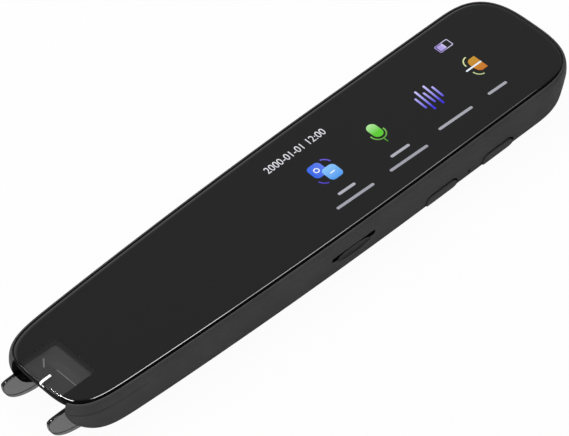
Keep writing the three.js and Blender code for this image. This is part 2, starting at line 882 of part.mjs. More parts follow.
// Tip switch behind the left foot, with the plunger that the foot pushes
const tipSwitchFront = armEnd + tipSwitchGap + tipPlungerReach;
const tipSwitchLevel = floorLevel + tipSwitchHeight / 2;
add('tip_switch', carve(
  [block(tipSwitchFront, tipSwitchLength, springSide, tipSwitchWidth, floorLevel, tipSwitchHeight)],
  [lyingPin(
    tipPlungerRadius + clearance, tipSwitchFront - overrun,
    overrun + tipPlungerReach + tipPlungerTravel + clearance,
    springSide, tipSwitchLevel,
  )],
), finish.black);
add('tip_switch_plunger', lyingPin(
  tipPlungerRadius, tipSwitchFront - tipPlungerReach, tipPlungerReach * 2, springSide, tipSwitchLevel,
), finish.white);

// Optics housing: a dark box with a light tunnel from the scan window to the lens
const opticsFrontGap = windowRun + guideTravel + clearance;
const opticsFront = (level) => windowFront + (finTop - level) * windowSlope + opticsFrontGap;
function opticsHousing() {
  const box = new THREE.Shape([
    new THREE.Vector2(opticsFront(floorLevel), floorLevel),
    new THREE.Vector2(opticsEnd, floorLevel),
    new THREE.Vector2(opticsEnd, opticsTop),
    new THREE.Vector2(opticsFront(opticsTop), opticsTop),
  ]);
  const throat = opticsEnd - sensorThickness - clearance - barrelLength;
  const mouthBottom = floorLevel + opticsWall;
  const mouthTop = opticsTop - opticsWall;
  const tunnel = new THREE.Shape([
    new THREE.Vector2(opticsFront(mouthBottom) - overrun, mouthBottom),
    new THREE.Vector2(opticsFront(mouthBottom) + tunnelThroat, mouthBottom),
    new THREE.Vector2(throat, lensHeight - barrelRadius),
    new THREE.Vector2(throat, lensHeight + barrelRadius),
    new THREE.Vector2(opticsFront(mouthTop) + tunnelThroat * 2, mouthTop),
    new THREE.Vector2(opticsFront(mouthTop) - overrun, mouthTop),
  ]);
  const tunnelHalf = opticsHalfWidth - opticsWall;
  const openingFront = opticsFront(opticsTop) + opticsLintel;
  const roofOpening = block(
    openingFront, opticsRoofOpening, 0, tunnelHalf * 2, mouthTop - overrun, opticsWall + overrun * 2,
  );
  const bore = lyingPin(barrelRadius + clearance, throat - overrun, opticsEnd, 0, lensHeight);
  const sensorRoom = block(
    opticsEnd - sensorThickness - clearance, sensorThickness + clearance + overrun, 0,
    sensorSize + sensorMargin * 2,
    lensHeight - sensorSize / 2 - sensorMargin, sensorSize + sensorMargin * 2,
  );
  const rib = block(0, opticsRibLength, 0, opticsRibWidth, mouthTop, opticsWall)
    .rotateZ(Math.PI / 4)
    .translate(openingFront, tunnelHalf - opticsRoofOpening, 0);
  const hollow = carve([acrossPen(box, -opticsHalfWidth, opticsHalfWidth)], [
    acrossPen(tunnel, -tunnelHalf, tunnelHalf), roofOpening, bore, sensorRoom,
  ]);
  return carve([hollow, rib]);
}
add('optics_housing', opticsHousing(), finish.black);

// Lens barrel with a front lip, and the lens that sits behind it
const barrelStart = opticsEnd - sensorThickness - barrelLength;
add('lens_barrel', carve([
  lyingPin(barrelRadius, barrelStart, barrelLength, 0, lensHeight),
], [
  lyingPin(barrelLip, barrelStart - overrun, barrelLength + overrun * 2, 0, lensHeight),
  lyingPin(barrelBore, barrelStart + barrelLipLength, barrelLength + overrun, 0, lensHeight),
]), finish.black);
add('scan_lens', turned([
  [0, -lensCrown], [lensRadius / 2, -lensCrown / 2], [lensRadius, 0], [lensRadius, lensEdge],
  [lensRadius / 2, lensEdge + lensCrown / 2], [0, lensEdge + lensCrown],
]).rotateY(Math.PI / 2)
  .translate(barrelStart + barrelLipLength + lensCrown / 2, 0, lensHeight), finish.lens);

// Image sensor on its upright board
add('image_sensor', block(
  opticsEnd - sensorThickness, sensorThickness, 0, sensorSize, lensHeight - sensorSize / 2, sensorSize,
), finish.lens);
add('sensor_board', block(
  opticsEnd, sensorBoardThickness, 0, sensorBoardWidth, floorLevel,
  deckBottom - floorLevel - sensorBoardTopGap,
), finish.board);

// Lighting strip on the tunnel floor, with one lamp at each side
const ledBoardStart = opticsFront(floorLevel + opticsWall) + ledBoardSetback;
const ledFloor = floorLevel + opticsWall;
add('led_board', block(
  ledBoardStart, ledBoardLength, 0, ledBoardWidth, ledFloor, ledBoardThickness,
), finish.board);
for (const [name, hand] of [['led_left', 1], ['led_right', -1]]) {
  add(name, block(
    ledBoardStart, ledLength, hand * ledSpacing / 2, ledWidth, ledFloor + ledBoardThickness, ledHeight,
  ), finish.white);
}

// Battery cell on its tape
const batteryBottom = floorLevel + batteryTapeThickness;
const batteryTop = batteryBottom + batteryThickness;
add('battery_tape', block(
  batteryStart + batteryLength * (1 - batteryTapeShare) / 2, batteryLength * batteryTapeShare,
  0, batteryWidth * batteryTapeShare, floorLevel, batteryTapeThickness,
), finish.white);
function batteryCell() {
  const section = roundedRectangle(batteryWidth, batteryThickness, batteryCorner);
  return raise(section, batteryLength, curveSteps / 2).rotateX(Math.PI / 2).rotateZ(Math.PI / 2)
    .translate(batteryStart, 0, batteryBottom + batteryThickness / 2);
}
add('battery', batteryCell(), finish.cell);

// Main board: follows the outline of the housing, open for the bosses and the charging port
const portStart = glassLength + sideBulge - portInset - portLength;
function mainBoard() {
  const shape = new THREE.Shape(planAt(-boardInset, boardBottom));
  const front = block(-overrun, boardStart + overrun, 0, glassTailHalfWidth * 3, 0, penThickness);
  const notch = block(
    portStart - clearance, portLength + wall * 2, 0, portWidth + clearance * 2, 0, penThickness,
  );
  const holes = [front, notch];
  for (const hand of [1, -1]) {
    holes.push(pin(bossRadius + clearance, tailScrewPlace, hand * tailScrewSide, 0, penThickness));
  }
  for (const [place, side] of boardScrewPlaces) {
    holes.push(pin(screwShankRadius + clearance, place, side, 0, penThickness));
  }
  for (const place of buttonPlaces) {
    const length = buttonLength + (buttonFlange + clearance) * 2;
    const reach = switchFront(place) - switchNose + buttonTravel;
    holes.push(block(place - length / 2, length, reach - penThickness / 2, penThickness, 0, penThickness));
  }
  return carve([raise(shape, boardThickness).translate(0, 0, boardBottom)], holes);
}
add('main_board', mainBoard(), finish.board);

// Shield cans: flat lids with a bevelled upper edge
function shieldCan(start, length, width, height) {
  const shape = roundedRectangle(length - shieldBevel * 2, width - shieldBevel * 2, shieldCorner);
  const can = new THREE.ExtrudeGeometry(shape, {
    depth: height - shieldBevel * 2,
    bevelEnabled: true,
    bevelThickness: shieldBevel,
    bevelSize: shieldBevel,
    bevelSegments: 1,
    curveSegments: curveSteps / 2,
  });
  return can.translate(start + length / 2, 0, boardTop + shieldBevel);
}
add('processor_shield', shieldCan(
  processorStart, processorLength, processorWidth, shieldHeight,
), finish.steel);
add('power_shield', shieldCan(powerStart, powerLength, powerWidth, powerHeight), finish.steel);
add('wireless_module', shieldCan(
  wirelessStart, wirelessLength, wirelessWidth, wirelessHeight,
), finish.steel);
add('memory_chip', block(
  memoryStart, memoryLength, memoryPlace, memoryWidth, boardBottom - memoryHeight, memoryHeight,
), finish.black);

// Card socket: a flat steel pocket that opens towards the slot in the side
const socketSide = -flankHalfWidth(slotPlace) - wallInside + cardSocketInset;
add('card_socket', carve([
  block(
    slotPlace - cardSocketSize / 2, cardSocketSize, socketSide + cardSocketSize / 2, cardSocketSize,
    boardTop, cardSocketHeight,
  ),
], [
  block(
    slotPlace - cardDepth / 2, cardDepth,
    socketSide + (cardDepth - overrun) / 2, cardDepth + overrun,
    boardTop + cardRise - slotHeight / 2, slotHeight,
  ),
]), finish.steel);

// Charging port: a drawn steel shell with its contact tongue
add('port_shell', carve([
  portStadium(portWidth, portHeight, portStart, portLength).translate(0, 0, portLevel),
], [
  portStadium(portWidth - portSkin * 2, portHeight - portSkin * 2, portStart + portSkin * 2, portLength)
    .translate(0, 0, portLevel),
]), finish.steel);
add('port_tongue', block(
  portStart + portSkin * 2, tongueDepth, 0, tongueWidth,
  portLevel - portTongueThickness / 2, portTongueThickness,
), finish.black);

// Speaker on a foam ring over the grille
function foamRing() {
  const shape = roundedRectangle(speakerLength, speakerWidth, speakerCorner);
  const inner = roundedRectangle(
    speakerLength - speakerFoamWidth * 2, speakerWidth - speakerFoamWidth * 2, speakerCorner / 2,
  );
  shape.holes.push(inner);
  return raise(shape, speakerFoam, curveSteps / 2);
}
add('speaker_foam', foamRing(), finish.foam)
  .position.set(speakerStart + speakerLength / 2, 0, floorLevel);
add('speaker', slab(
  speakerStart, speakerLength, speakerWidth, speakerCorner, floorLevel + speakerFoam, speakerHeight,
), finish.black);

// Side buttons: a cap that follows the side of the housing, with a flange behind the wall
function sideButton(place) {
  const side = -flankHalfWidth(place);
  const flangeFace = side - wallInside + buttonFlangeInset - buttonFlangeThickness;
  const key = sidePill(
    place, buttonLength, buttonLevel, buttonHeight, side - sideBulge - overrun,
    flangeFace + buttonFlangeThickness / 2,
  );
  const cap = common(key, housingBlock(buttonProud));
  const flange = sidePill(
    place, buttonLength + buttonFlange * 2, buttonLevel, buttonHeight + buttonFlange * 2,
    flangeFace, flangeFace + buttonFlangeThickness,
  );
  return carve([cap, flange]);
}

// A side switch hangs under the board edge, its plunger just behind the button's flange
function switchFront(place) {
  const flangeBack = -flankHalfWidth(place) - wallInside + buttonFlangeInset;
  return flangeBack + clearance + switchNose;
}
for (const [index, label] of ['front', 'rear'].entries()) {
  const place = buttonPlaces[index];
  const face = switchFront(place);
  const level = boardBottom - switchPlungerDrop;
  const bottomed = face + switchNose + switchPlungerTravel + clearance;
  const plunger = (radius, from, to) => new THREE.CylinderGeometry(radius, radius, to - from, roundSides)
    .translate(place, (from + to) / 2, level);
  add(`${label}_button`, sideButton(place), finish.shell);
  add(`${label}_switch`, carve([
    block(place - switchLength / 2, switchLength, face + switchDepth / 2, switchDepth,
      boardBottom - switchHeight, switchHeight),
  ], [
    plunger(switchPlungerRadius + clearance, face - overrun, bottomed),
  ]), finish.steel);
  add(`${label}_switch_plunger`, plunger(
    switchPlungerRadius, face - switchNose, face + switchNose,
  ), finish.black);
}
const microphoneSide = -flankHalfWidth(microphonePlace) + microphoneInset;
add('microphone', block(
  microphonePlace - microphoneLength / 2, microphoneLength,
  microphoneSide + microphoneWidth / 2, microphoneWidth,
  boardBottom - microphoneHeight, microphoneHeight,
), finish.steel);

// Flat leads from the camera, the display and the battery to the board
const halfLead = leadThickness / 2;
const landing = boardTop + halfLead;
const overBattery = batteryTop + clearance + halfLead;
add('camera_lead', lead([
  [sensorBack + halfLead, overBattery - cameraLeadTab],
  [sensorBack + halfLead, overBattery - clearance],
  [sensorBack + clearance + halfLead, overBattery],
  [batteryStart + batteryLength + clearance, overBattery],
  [boardStart, landing + clearance],
  [boardStart + clearance, landing],
  [boardStart + leadLanding, landing],
], cameraLeadWidth, cameraLeadPlace), finish.copper);
const displayLeadFace = displayStart - halfLead;
add('display_lead', lead([
  [displayLeadFace, deckTop - clearance],
  [displayLeadFace, panelBottom],
  [displayLeadFace - clearance / 2, backlightBottom],
  [displayLeadFace + clearance, (backlightBottom + boardTop) / 2],
  [displayStart + displayLeadBow, landing + clearance],
  [displayStart + displayLeadBow + clearance, landing],
  [displayStart + displayLeadBow + leadLanding, landing],
], displayLeadWidth, displayLeadPlace), finish.copper);
add('battery_lead', lead([
  [batteryStart + batteryLength + clearance, batteryLeadHeight],
  [boardStart - clearance * 2, batteryLeadHeight],
  [boardStart + clearance / 2, landing],
  [slotPlace - cardSocketSize / 2 - clearance, landing],
], batteryLeadWidth, batteryLeadPlace), finish.copper);

// Aerial: a thin strip that follows the inside of the tail wall on the left
function aerial() {
  const aerialStart = glassLength - aerialReach;
  const [outer, inner] = [clearance, clearance + aerialThickness].map((gap) => (
    planAt(wallInside - gap, aerialBottom).filter((point) => point.y > 0 && point.x > aerialStart)
  ));
  return raise(new THREE.Shape([...outer, ...inner.reverse()]), aerialHeight).translate(0, 0, aerialBottom);
}
add('aerial', aerial(), finish.copper);

// Screws: a dimpled pan head on a plain shank
function screw() {
  return turned([
    [0, -screwShankLength], [screwShankRadius, -screwShankLength],
    [screwShankRadius, 0], [screwHeadRadius, 0],
    [screwHeadRadius, screwHeadHeight / 2], [screwHeadRadius - screwDimple, screwHeadHeight],
    [screwDimpleRadius, screwHeadHeight], [0, screwHeadHeight - screwDimple],
  ], screwSides);
}
let screwNumber = 0;
for (const [place, side] of frameScrewPlaces) {
  for (const hand of [1, -1]) {
    screwNumber += 1;
    add(`frame_screw_${screwNumber}`, screw(), finish.steel)
      .position.set(place, hand * side, screwSeat);
  }
}
for (const [index, [place, side]] of boardScrewPlaces.entries()) {
  add(`board_screw_${index + 1}`, screw(), finish.steel).position.set(place, side, boardTop);
}

// The origin sits under the middle of the pen, fins and proud buttons included
pen.position.x = -(bodyFront + bodyBack) / 2;
pen.position.y = buttonProud / 2;

export default pen;
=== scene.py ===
"""A scanning pen that lies on its back: long dark glass over a moulded housing, lit display, smoked scan guide."""
import math

import bmesh
import bpy
from mathutils import Matrix, Quaternion, Vector


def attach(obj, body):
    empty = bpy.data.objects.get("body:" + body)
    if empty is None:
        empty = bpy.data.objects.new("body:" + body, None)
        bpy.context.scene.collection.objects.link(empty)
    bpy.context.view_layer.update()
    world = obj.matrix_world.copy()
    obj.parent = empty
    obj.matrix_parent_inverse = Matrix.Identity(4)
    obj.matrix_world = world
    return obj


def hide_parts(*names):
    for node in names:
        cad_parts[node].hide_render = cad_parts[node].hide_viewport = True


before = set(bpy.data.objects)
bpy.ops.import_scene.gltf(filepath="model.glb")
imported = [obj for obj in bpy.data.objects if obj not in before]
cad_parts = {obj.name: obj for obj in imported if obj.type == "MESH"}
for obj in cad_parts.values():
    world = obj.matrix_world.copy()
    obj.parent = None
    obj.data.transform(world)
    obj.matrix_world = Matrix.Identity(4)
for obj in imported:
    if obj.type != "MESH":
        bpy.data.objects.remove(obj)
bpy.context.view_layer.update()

# Every length below is in millimetres
MM = 0.001

# Where the part's own measures lie in the frame: u counts from the front edge of the glass
FRONT_EDGE = -75.5
SIDE_SHIFT = 0.175

# The glass and the housing, as in the part
GLASS_LENGTH = 154.0
TAIL_HALF = 15.9
NOSE_HALF = 12.5
TAPER_LENGTH = 103.03
NOSE_CAP = 17.9
NOSE_POWER = 4.33
TAIL_CAP = 14.9
TAIL_POWER = 3.07
SIDE_BULGE = 1.2
EDGE_RADIUS = 5.0
WALL = 1.4
PARTING = 10.0
PARTING_CHAMFER = 0.16
# The groove of the parting line fades over this length from the nose, down to this share of its depth
GROOVE_FADE, GROOVE_LEFT = 24.0, 0.08
NOSE_SWEEP, NOSE_SWEEP_LENGTH = 5.2, 31.0
TAIL_SWEEP, TAIL_SWEEP_LENGTH = 4.2, 31.0
SWEEP_POWER = 1.3
GLASS_BOTTOM = 12.3
DECK_TOP = 12.1
DECK_BOTTOM = 10.8
GLASS_TOP = 13.16
GLASS_EDGE_WIDTH = 1.3
GLASS_EDGE_DROP = 0.40
RIM_TOP = 12.94
SEAM = 0.3

# Points round the outline, and the finer steps of each of its stretches that they are picked from
AROUND = 640
CAP_STEPS = 2000


# ---------------------------------------------------------------- helpers

def at(u, y, z):
    """A place given as the part gives it, in millimetres, as a vector in the frame."""
    return Vector(((u + FRONT_EDGE) * MM, (y + SIDE_SHIFT) * MM, z * MM))


def linear(hex_colour, alpha=1.0):
    """An sRGB hex colour as linear values."""
    out = []
    for shift in (16, 8, 0):
        value = ((hex_colour >> shift) & 0xFF) / 255
        out.append(value / 12.92 if value <= 0.04045 else ((value + 0.055) / 1.055) ** 2.4)
    return (*out, alpha)


def add(tree, kind, links=None, **settings):
    """Adds one node, sets its properties and socket values, and links its inputs."""
    node = tree.nodes.new(kind)
    for name, value in settings.items():
        if hasattr(node, name):
            setattr(node, name, value)
        else:
            node.inputs[name.replace("_", " ")].default_value = value
    for socket, source in (links or {}).items():
        tree.links.new(source, node.inputs[socket])
    return node


def sum_of(tree, operation, source, number):
    """One step of arithmetic on a value with a number."""
    node = add(tree, "ShaderNodeMath", {0: source}, operation=operation)
    node.inputs[1].default_value = number
    return node.outputs[0]


def new_material(name):
    """An empty node material with its output, ready for nodes."""
    material = bpy.data.materials.new(name)
    material.use_nodes = True
    tree = material.node_tree
    tree.nodes.clear()
    return material, tree, tree.nodes.new("ShaderNodeOutputMaterial")


def ramp(tree, share, low, high):
    """A run from one colour to another along a share."""
    node = add(tree, "ShaderNodeValToRGB", {"Fac": share})
    node.color_ramp.elements[0].color, node.color_ramp.elements[1].color = low, high
    return node


def grained(name, colour, roughness, grain_mm, depth_mm, metallic=0.0, tone=0.12, patch_mm=9.0, stretch=None,
            specular=None):
    """A surface with fine grain in its relief and slow, slight variation in tone and roughness."""
    material, tree, out = new_material(name)
    coords = add(tree, "ShaderNodeTexCoord").outputs["Object"]
    if stretch:
        coords = add(tree, "ShaderNodeMapping", {"Vector": coords}, Scale=stretch).outputs["Vector"]
    grain = add(tree, "ShaderNodeTexNoise", {"Vector": coords}, Scale=1 / (grain_mm * MM), Detail=2.0)
    patches = add(tree, "ShaderNodeTexNoise", {"Vector": coords}, Scale=1 / (patch_mm * MM), Detail=3.0)
    dark = [channel * (1 - tone) for channel in linear(colour)[:3]] + [1.0]
    light = [min(channel * (1 + tone), 1.0) for channel in linear(colour)[:3]] + [1.0]
    shade = ramp(tree, patches.outputs["Fac"], dark, light)
    shade.color_ramp.elements[0].position, shade.color_ramp.elements[1].position = 0.3, 0.7
    rough = add(tree, "ShaderNodeMapRange", {"Value": patches.outputs["Fac"]}, From_Min=0.3, From_Max=0.7,
                To_Min=roughness * 0.93, To_Max=roughness * 1.07)
    bump = add(tree, "ShaderNodeBump", {"Height": grain.outputs["Fac"]}, Distance=depth_mm * MM, Strength=1.0)
    shader = add(tree, "ShaderNodeBsdfPrincipled", {
        "Base Color": shade.outputs["Color"], "Roughness": rough.outputs["Result"], "Normal": bump.outputs["Normal"],
    }, Metallic=metallic, IOR=1.5)
    if specular is not None:
        shader.inputs["Specular IOR Level"].default_value = specular
    tree.links.new(shader.outputs["BSDF"], out.inputs["Surface"])
    return material


# ---------------------------------------------------------------- outline of the pen

def flank(u):
    """Half width of the glass along its flank."""
    share = min(max(u / TAPER_LENGTH, 0), 1)
    return NOSE_HALF + (TAIL_HALF - NOSE_HALF) * (1 - (1 - share) ** 2)


def even_outline():
    """Points at equal spacing round the glass, counterclockwise, each with its outward normal."""
    half = []
    for step in range(CAP_STEPS):
        angle = math.pi / 2 * step / CAP_STEPS
        u = NOSE_CAP * (1 - math.cos(angle) ** (2 / NOSE_POWER))
        half.append((u, flank(u) * math.sin(angle) ** (2 / NOSE_POWER)))
    flank_end = GLASS_LENGTH - TAIL_CAP
    for step in range(CAP_STEPS):
        u = NOSE_CAP + (flank_end - NOSE_CAP) * step / CAP_STEPS
        half.append((u, flank(u)))
    for step in range(CAP_STEPS, -1, -1):
        angle = math.pi / 2 * step / CAP_STEPS
        u = flank_end + TAIL_CAP * math.cos(angle) ** (2 / TAIL_POWER)
        half.append((u, flank(u) * math.sin(angle) ** (2 / TAIL_POWER)))
    loop = [Vector((u, -y)) for u, y in half] + [Vector((u, y)) for u, y in reversed(half[1:-1])]
    lengths = [0.0]
    for here, after in zip(loop, loop[1:] + loop[:1]):
        lengths.append(lengths[-1] + (after - here).length)
    points, index = [], 0
    for step in range(AROUND):
        goal = lengths[-1] * step / AROUND
        while lengths[index + 1] <= goal:
            index += 1
        share = (goal - lengths[index]) / (lengths[index + 1] - lengths[index])
        points.append(loop[index].lerp(loop[(index + 1) % len(loop)], share))
    normals = []
    for index, point in enumerate(points):
        along = points[(index + 1) % AROUND] - points[index - 1]
        normals.append(Vector((along.y, -along.x)).normalized())
    return list(zip(points, normals))


OUTLINE = even_outline()


def ring(offset, level, groove=0.0):
    """The outline grown by an offset at one level, drawn in at both ends below the parting line. A groove takes
    its depth off at the nose and fades along the flank."""
    depth = min(max((PARTING - level) / PARTING, 0), 1) ** SWEEP_POWER
    out = []
    for point, normal in OUTLINE:
        nose = max(1 - point.x / NOSE_SWEEP_LENGTH, 0) ** 2
        tail = max(1 - (GLASS_LENGTH - point.x) / TAIL_SWEEP_LENGTH, 0) ** 2
        moved = point + normal * (offset - groove * max(1 - point.x / GROOVE_FADE, GROOVE_LEFT))
        out.append(at(moved.x + (NOSE_SWEEP * nose - TAIL_SWEEP * tail) * depth, moved.y, level))
    return out


# ---------------------------------------------------------------- making meshes

def loop_of(bm, points):
    """A closed loop of edges through the points."""
    verts = bmesh.ops.create_circle(bm, segments=len(points), radius=1.0)["verts"]
    edges = {edge for vert in verts for edge in vert.link_edges}
    for vert, point in zip(verts, points):
        vert.co = point
    return list(edges)


def facing_out(bm):
    """Turns the faces of a closed solid outwards."""
    bmesh.ops.recalc_face_normals(bm, faces=bm.faces)
    if bm.calc_volume(signed=True) < 0:
        bmesh.ops.reverse_faces(bm, faces=bm.faces)
    return bm


def lofted(rings):
    """A bmesh drawn out from loop to loop, all of equal count, and capped at both ends."""
    bm = bmesh.new()
    edges = loop_of(bm, rings[0])
    bmesh.ops.edgeloop_fill(bm, edges=edges)
    for here, after in zip(rings, rings[1:]):
        grown = bmesh.ops.extrude_edge_only(bm, edges=edges)["geom"]
        verts = {item for item in grown if isinstance(item, bmesh.types.BMVert)}
        edges = [item for item in grown if isinstance(item, bmesh.types.BMEdge) and verts.issuperset(item.verts)]
        places = {tuple(start): end for start, end in zip(here, after)}
        for vert in verts:
            vert.co = places[tuple(vert.co)]
    bmesh.ops.edgeloop_fill(bm, edges=edges)
    return facing_out(bm)


def prism(outline, direction):
    """A flat outline carried along a direction into a closed solid."""
    bm = bmesh.new()
    edges = loop_of(bm, outline)
    faces = bmesh.ops.edgeloop_fill(bm, edges=edges)["faces"]
    moved = bmesh.ops.extrude_face_region(bm, geom=faces)["geom"]
    verts = [item for item in moved if isinstance(item, bmesh.types.BMVert)]
    bmesh.ops.translate(bm, verts=verts, vec=direction)
    return facing_out(bm)


def rounded(bm, width_mm, segments=3, angle=40):
    """Rounds the sharp edges of a solid."""
    sharp = [edge for edge in bm.edges if len(edge.link_faces) == 2
             and edge.calc_face_angle(0) > math.radians(angle)]
    bmesh.ops.bevel(bm, geom=sharp, offset=width_mm * MM, offset_type="OFFSET", affect="EDGES",
                    segments=segments, profile=0.5, material=-1, clamp_overlap=True)
    return bm


def piece(name, bm, materials, body="housing", sharp=35, replaces=()):
    """Turns a bmesh into a piece that rides on a body."""
    mesh = bpy.data.meshes.new(name)
    bm.to_mesh(mesh)
    bm.free()
    obj = bpy.data.objects.new(name, mesh)
    bpy.context.scene.collection.objects.link(obj)
    for material in materials:
        mesh.materials.append(material)
    smooth(mesh, sharp)
    if body:
        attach(obj, body)
    if replaces:
        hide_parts(*replaces)
    return obj


def smooth(mesh, sharp):
    """Shades a mesh smooth, apart from edges sharper than an angle in degrees."""
    mesh.shade_smooth()
    mesh.set_sharp_from_angle(angle=math.radians(sharp))


def cut(obj, cutters, operation="DIFFERENCE", sharp=35):
    """Takes each cutter away from a piece, or keeps what they share, and drops the cutters."""
    for index, bm in enumerate(cutters):
        tool = piece(f"cutter_{index}", bm, [], body=None)
        modifier = obj.modifiers.new("cut", "BOOLEAN")
        modifier.operation = operation
        modifier.solver = "EXACT"
        modifier.object = tool
        view = bpy.context.evaluated_depsgraph_get()
        view.update()
        mesh = bpy.data.meshes.new_from_object(obj.evaluated_get(view))
        obj.modifiers.clear()
        old = obj.data
        obj.data = mesh
        bpy.data.meshes.remove(old)
        spent = tool.data
        bpy.data.objects.remove(tool)
        bpy.data.meshes.remove(spent)
    smooth(obj.data, sharp)
    return obj


def lifted(obj):
    """The mesh of a helper solid as a bmesh; the helper itself is dropped."""
    bm = bmesh.new()
    bm.from_mesh(obj.data)
    spent = obj.data
    bpy.data.objects.remove(obj)
    bpy.data.meshes.remove(spent)
    return bm


def pill(length, height, steps=24):
    """A long outline with round ends, as pairs round the origin."""
    reach, radius = length / 2 - height / 2, height / 2
    points = []
    for side, start in ((1, -90), (-1, 90)):
        for step in range(steps + 1):
            angle = math.radians(start + 180 * step / steps)
            points.append((side * reach + radius * math.cos(angle), radius * math.sin(angle)))
    return points


def rounded_box(length, width, corner, steps=8):
    """A rectangle with round corners, as pairs round the origin."""
    points = []
    for sx, sy, start in ((1, -1, -90), (1, 1, 0), (-1, 1, 90), (-1, -1, 180)):
        for step in range(steps + 1):
            angle = math.radians(start + 90 * step / steps)
            points.append((sx * (length / 2 - corner) + corner * math.cos(angle),
                           sy * (width / 2 - corner) + corner * math.sin(angle)))
    return points


def painted_shade_faces(bm):
    """Gives the faces of a cutter the second material of what it cuts: the near black of painted shade."""
    for face in bm.faces:
        face.material_index = 1
    return bm


def side_pill(u, length, level, height, y_from, y_to):
    """A pill across the side wall, from one depth to another."""
    outline = [at(u + a, y_from, level + b) for a, b in pill(length, height)]
    return prism(outline, Vector((0, (y_to - y_from) * MM, 0)))


def block(u0, u1, y0, y1, z0, z1):
    """A straight-sided solid between two corners."""
    outline = [at(u0, y0, z0), at(u1, y0, z0), at(u1, y1, z0), at(u0, y1, z0)]
    return prism(outline, Vector((0, 0, (z1 - z0) * MM)))


# ---------------------------------------------------------------- materials

# Moulded ABS/PC with a spark-eroded grain: a satin, soft grey sheen. The real grain is near 0.1 mm,
# too fine for the picture, so it is drawn at 0.45 mm. The grain swallows part of the gloss.
shell_plastic = grained("moulded_abs_satin", 0x3D3D3D, 0.52, 0.45, 0.006, specular=0.15)
# The upper frame is moulded with a finer grain: the same grey, a shade smoother
frame_plastic = grained("moulded_abs_fine_satin", 0x3C3C3C, 0.50, 0.40, 0.004, specular=0.15)
# The same grey moulding inside its openings, where hardly any light comes, painted matt near black: painted shade
shade_painted_plastic = grained("moulded_abs_painted_shade", 0x141415, 0.6, 0.4, 0.006, specular=0.15)
# The keys, rubbed by the thumb: the same grey with a little more sheen
key_plastic = grained("moulded_key_satin", 0x3C3C3C, 0.48, 0.40, 0.004, specular=0.18)


# The scan window in the print on the back of the glass, and how far past it the face of the glass is clear
VIEW_FRONT, VIEW_END, VIEW_WIDTH, VIEW_CORNER = 0.45, 10.1, 12.0, 0.8
CLEAR_FRONT, CLEAR_MARGIN = 0.15, 0.7
PRINT_SOFTNESS = 0.08
PANE_TINT = 0xE4E4E4


def edge_shine(tree, straight=0.04, grazing=1.0):
    """Share of the light that a clear surface throws back: little straight on, more at a grazing angle."""
    facing = add(tree, "ShaderNodeLayerWeight", Blend=0.5)
    steep = sum_of(tree, "POWER", facing.outputs["Facing"], 5.0)
    share = add(tree, "ShaderNodeMapRange", {"Value": steep}, To_Min=straight, To_Max=grazing)
    return share.outputs["Result"]


def outside_window(tree, coords, front, end, half_width, corner):
    """One outside a round-cornered rectangle on the glass and zero inside it."""
    parts = add(tree, "ShaderNodeSeparateXYZ", {"Vector": coords})
    middle = at((front + end) / 2, 0, 0)
    gaps = []
    for axis, half in (("X", (end - front) / 2), ("Y", half_width)):
        moved = sum_of(tree, "SUBTRACT", parts.outputs[axis], middle["XY".index(axis)])
        size = add(tree, "ShaderNodeMath", {0: moved}, operation="ABSOLUTE").outputs[0]
        over = sum_of(tree, "SUBTRACT", size, (half - corner) * MM)
        gaps.append(sum_of(tree, "MAXIMUM", over, 0.0))
    beyond = add(tree, "ShaderNodeCombineXYZ", {"X": gaps[0], "Y": gaps[1]})
    reach = add(tree, "ShaderNodeVectorMath", {0: beyond.outputs["Vector"]}, operation="LENGTH")
    inked = add(tree, "ShaderNodeMapRange", {"Value": reach.outputs["Value"]},
                From_Min=(corner - PRINT_SOFTNESS) * MM, From_Max=(corner + PRINT_SOFTNESS) * MM)
    return inked.outputs["Result"]


def polished_glass():
    """Polished aluminosilicate glass over black ink: an even black with a clean reflection and faint wiping smears.
    Over the scan window it is clear, and the eye goes on to the back of the glass."""
    material, tree, out = new_material("polished_glass_over_print")
    coords = add(tree, "ShaderNodeTexCoord").outputs["Object"]
    smears = add(tree, "ShaderNodeTexNoise", {"Vector": coords}, Scale=1 / (14 * MM), Detail=4.0)
    rough = add(tree, "ShaderNodeMapRange", {"Value": smears.outputs["Fac"]}, From_Min=0.3, From_Max=0.75,
                To_Min=0.035, To_Max=0.06)
    ink = add(tree, "ShaderNodeBsdfPrincipled", {"Roughness": rough.outputs["Result"]},
              Base_Color=linear(0x060607), IOR=1.5)
    clear = add(tree, "ShaderNodeBsdfTransparent", Color=linear(PANE_TINT))
    shine = add(tree, "ShaderNodeBsdfGlossy", {"Roughness": rough.outputs["Result"]}, Color=(1, 1, 1, 1))
    pane = add(tree, "ShaderNodeMixShader",
               {0: edge_shine(tree, straight=0.05), 1: clear.outputs[0], 2: shine.outputs[0]})
    inked = outside_window(tree, coords, CLEAR_FRONT, VIEW_END + CLEAR_MARGIN, VIEW_WIDTH / 2 + CLEAR_MARGIN,
                           VIEW_CORNER)
    whole = add(tree, "ShaderNodeMixShader", {0: inked, 1: pane.outputs[0], 2: ink.outputs[0]})
    tree.links.new(whole.outputs[0], out.inputs["Surface"])
    return material


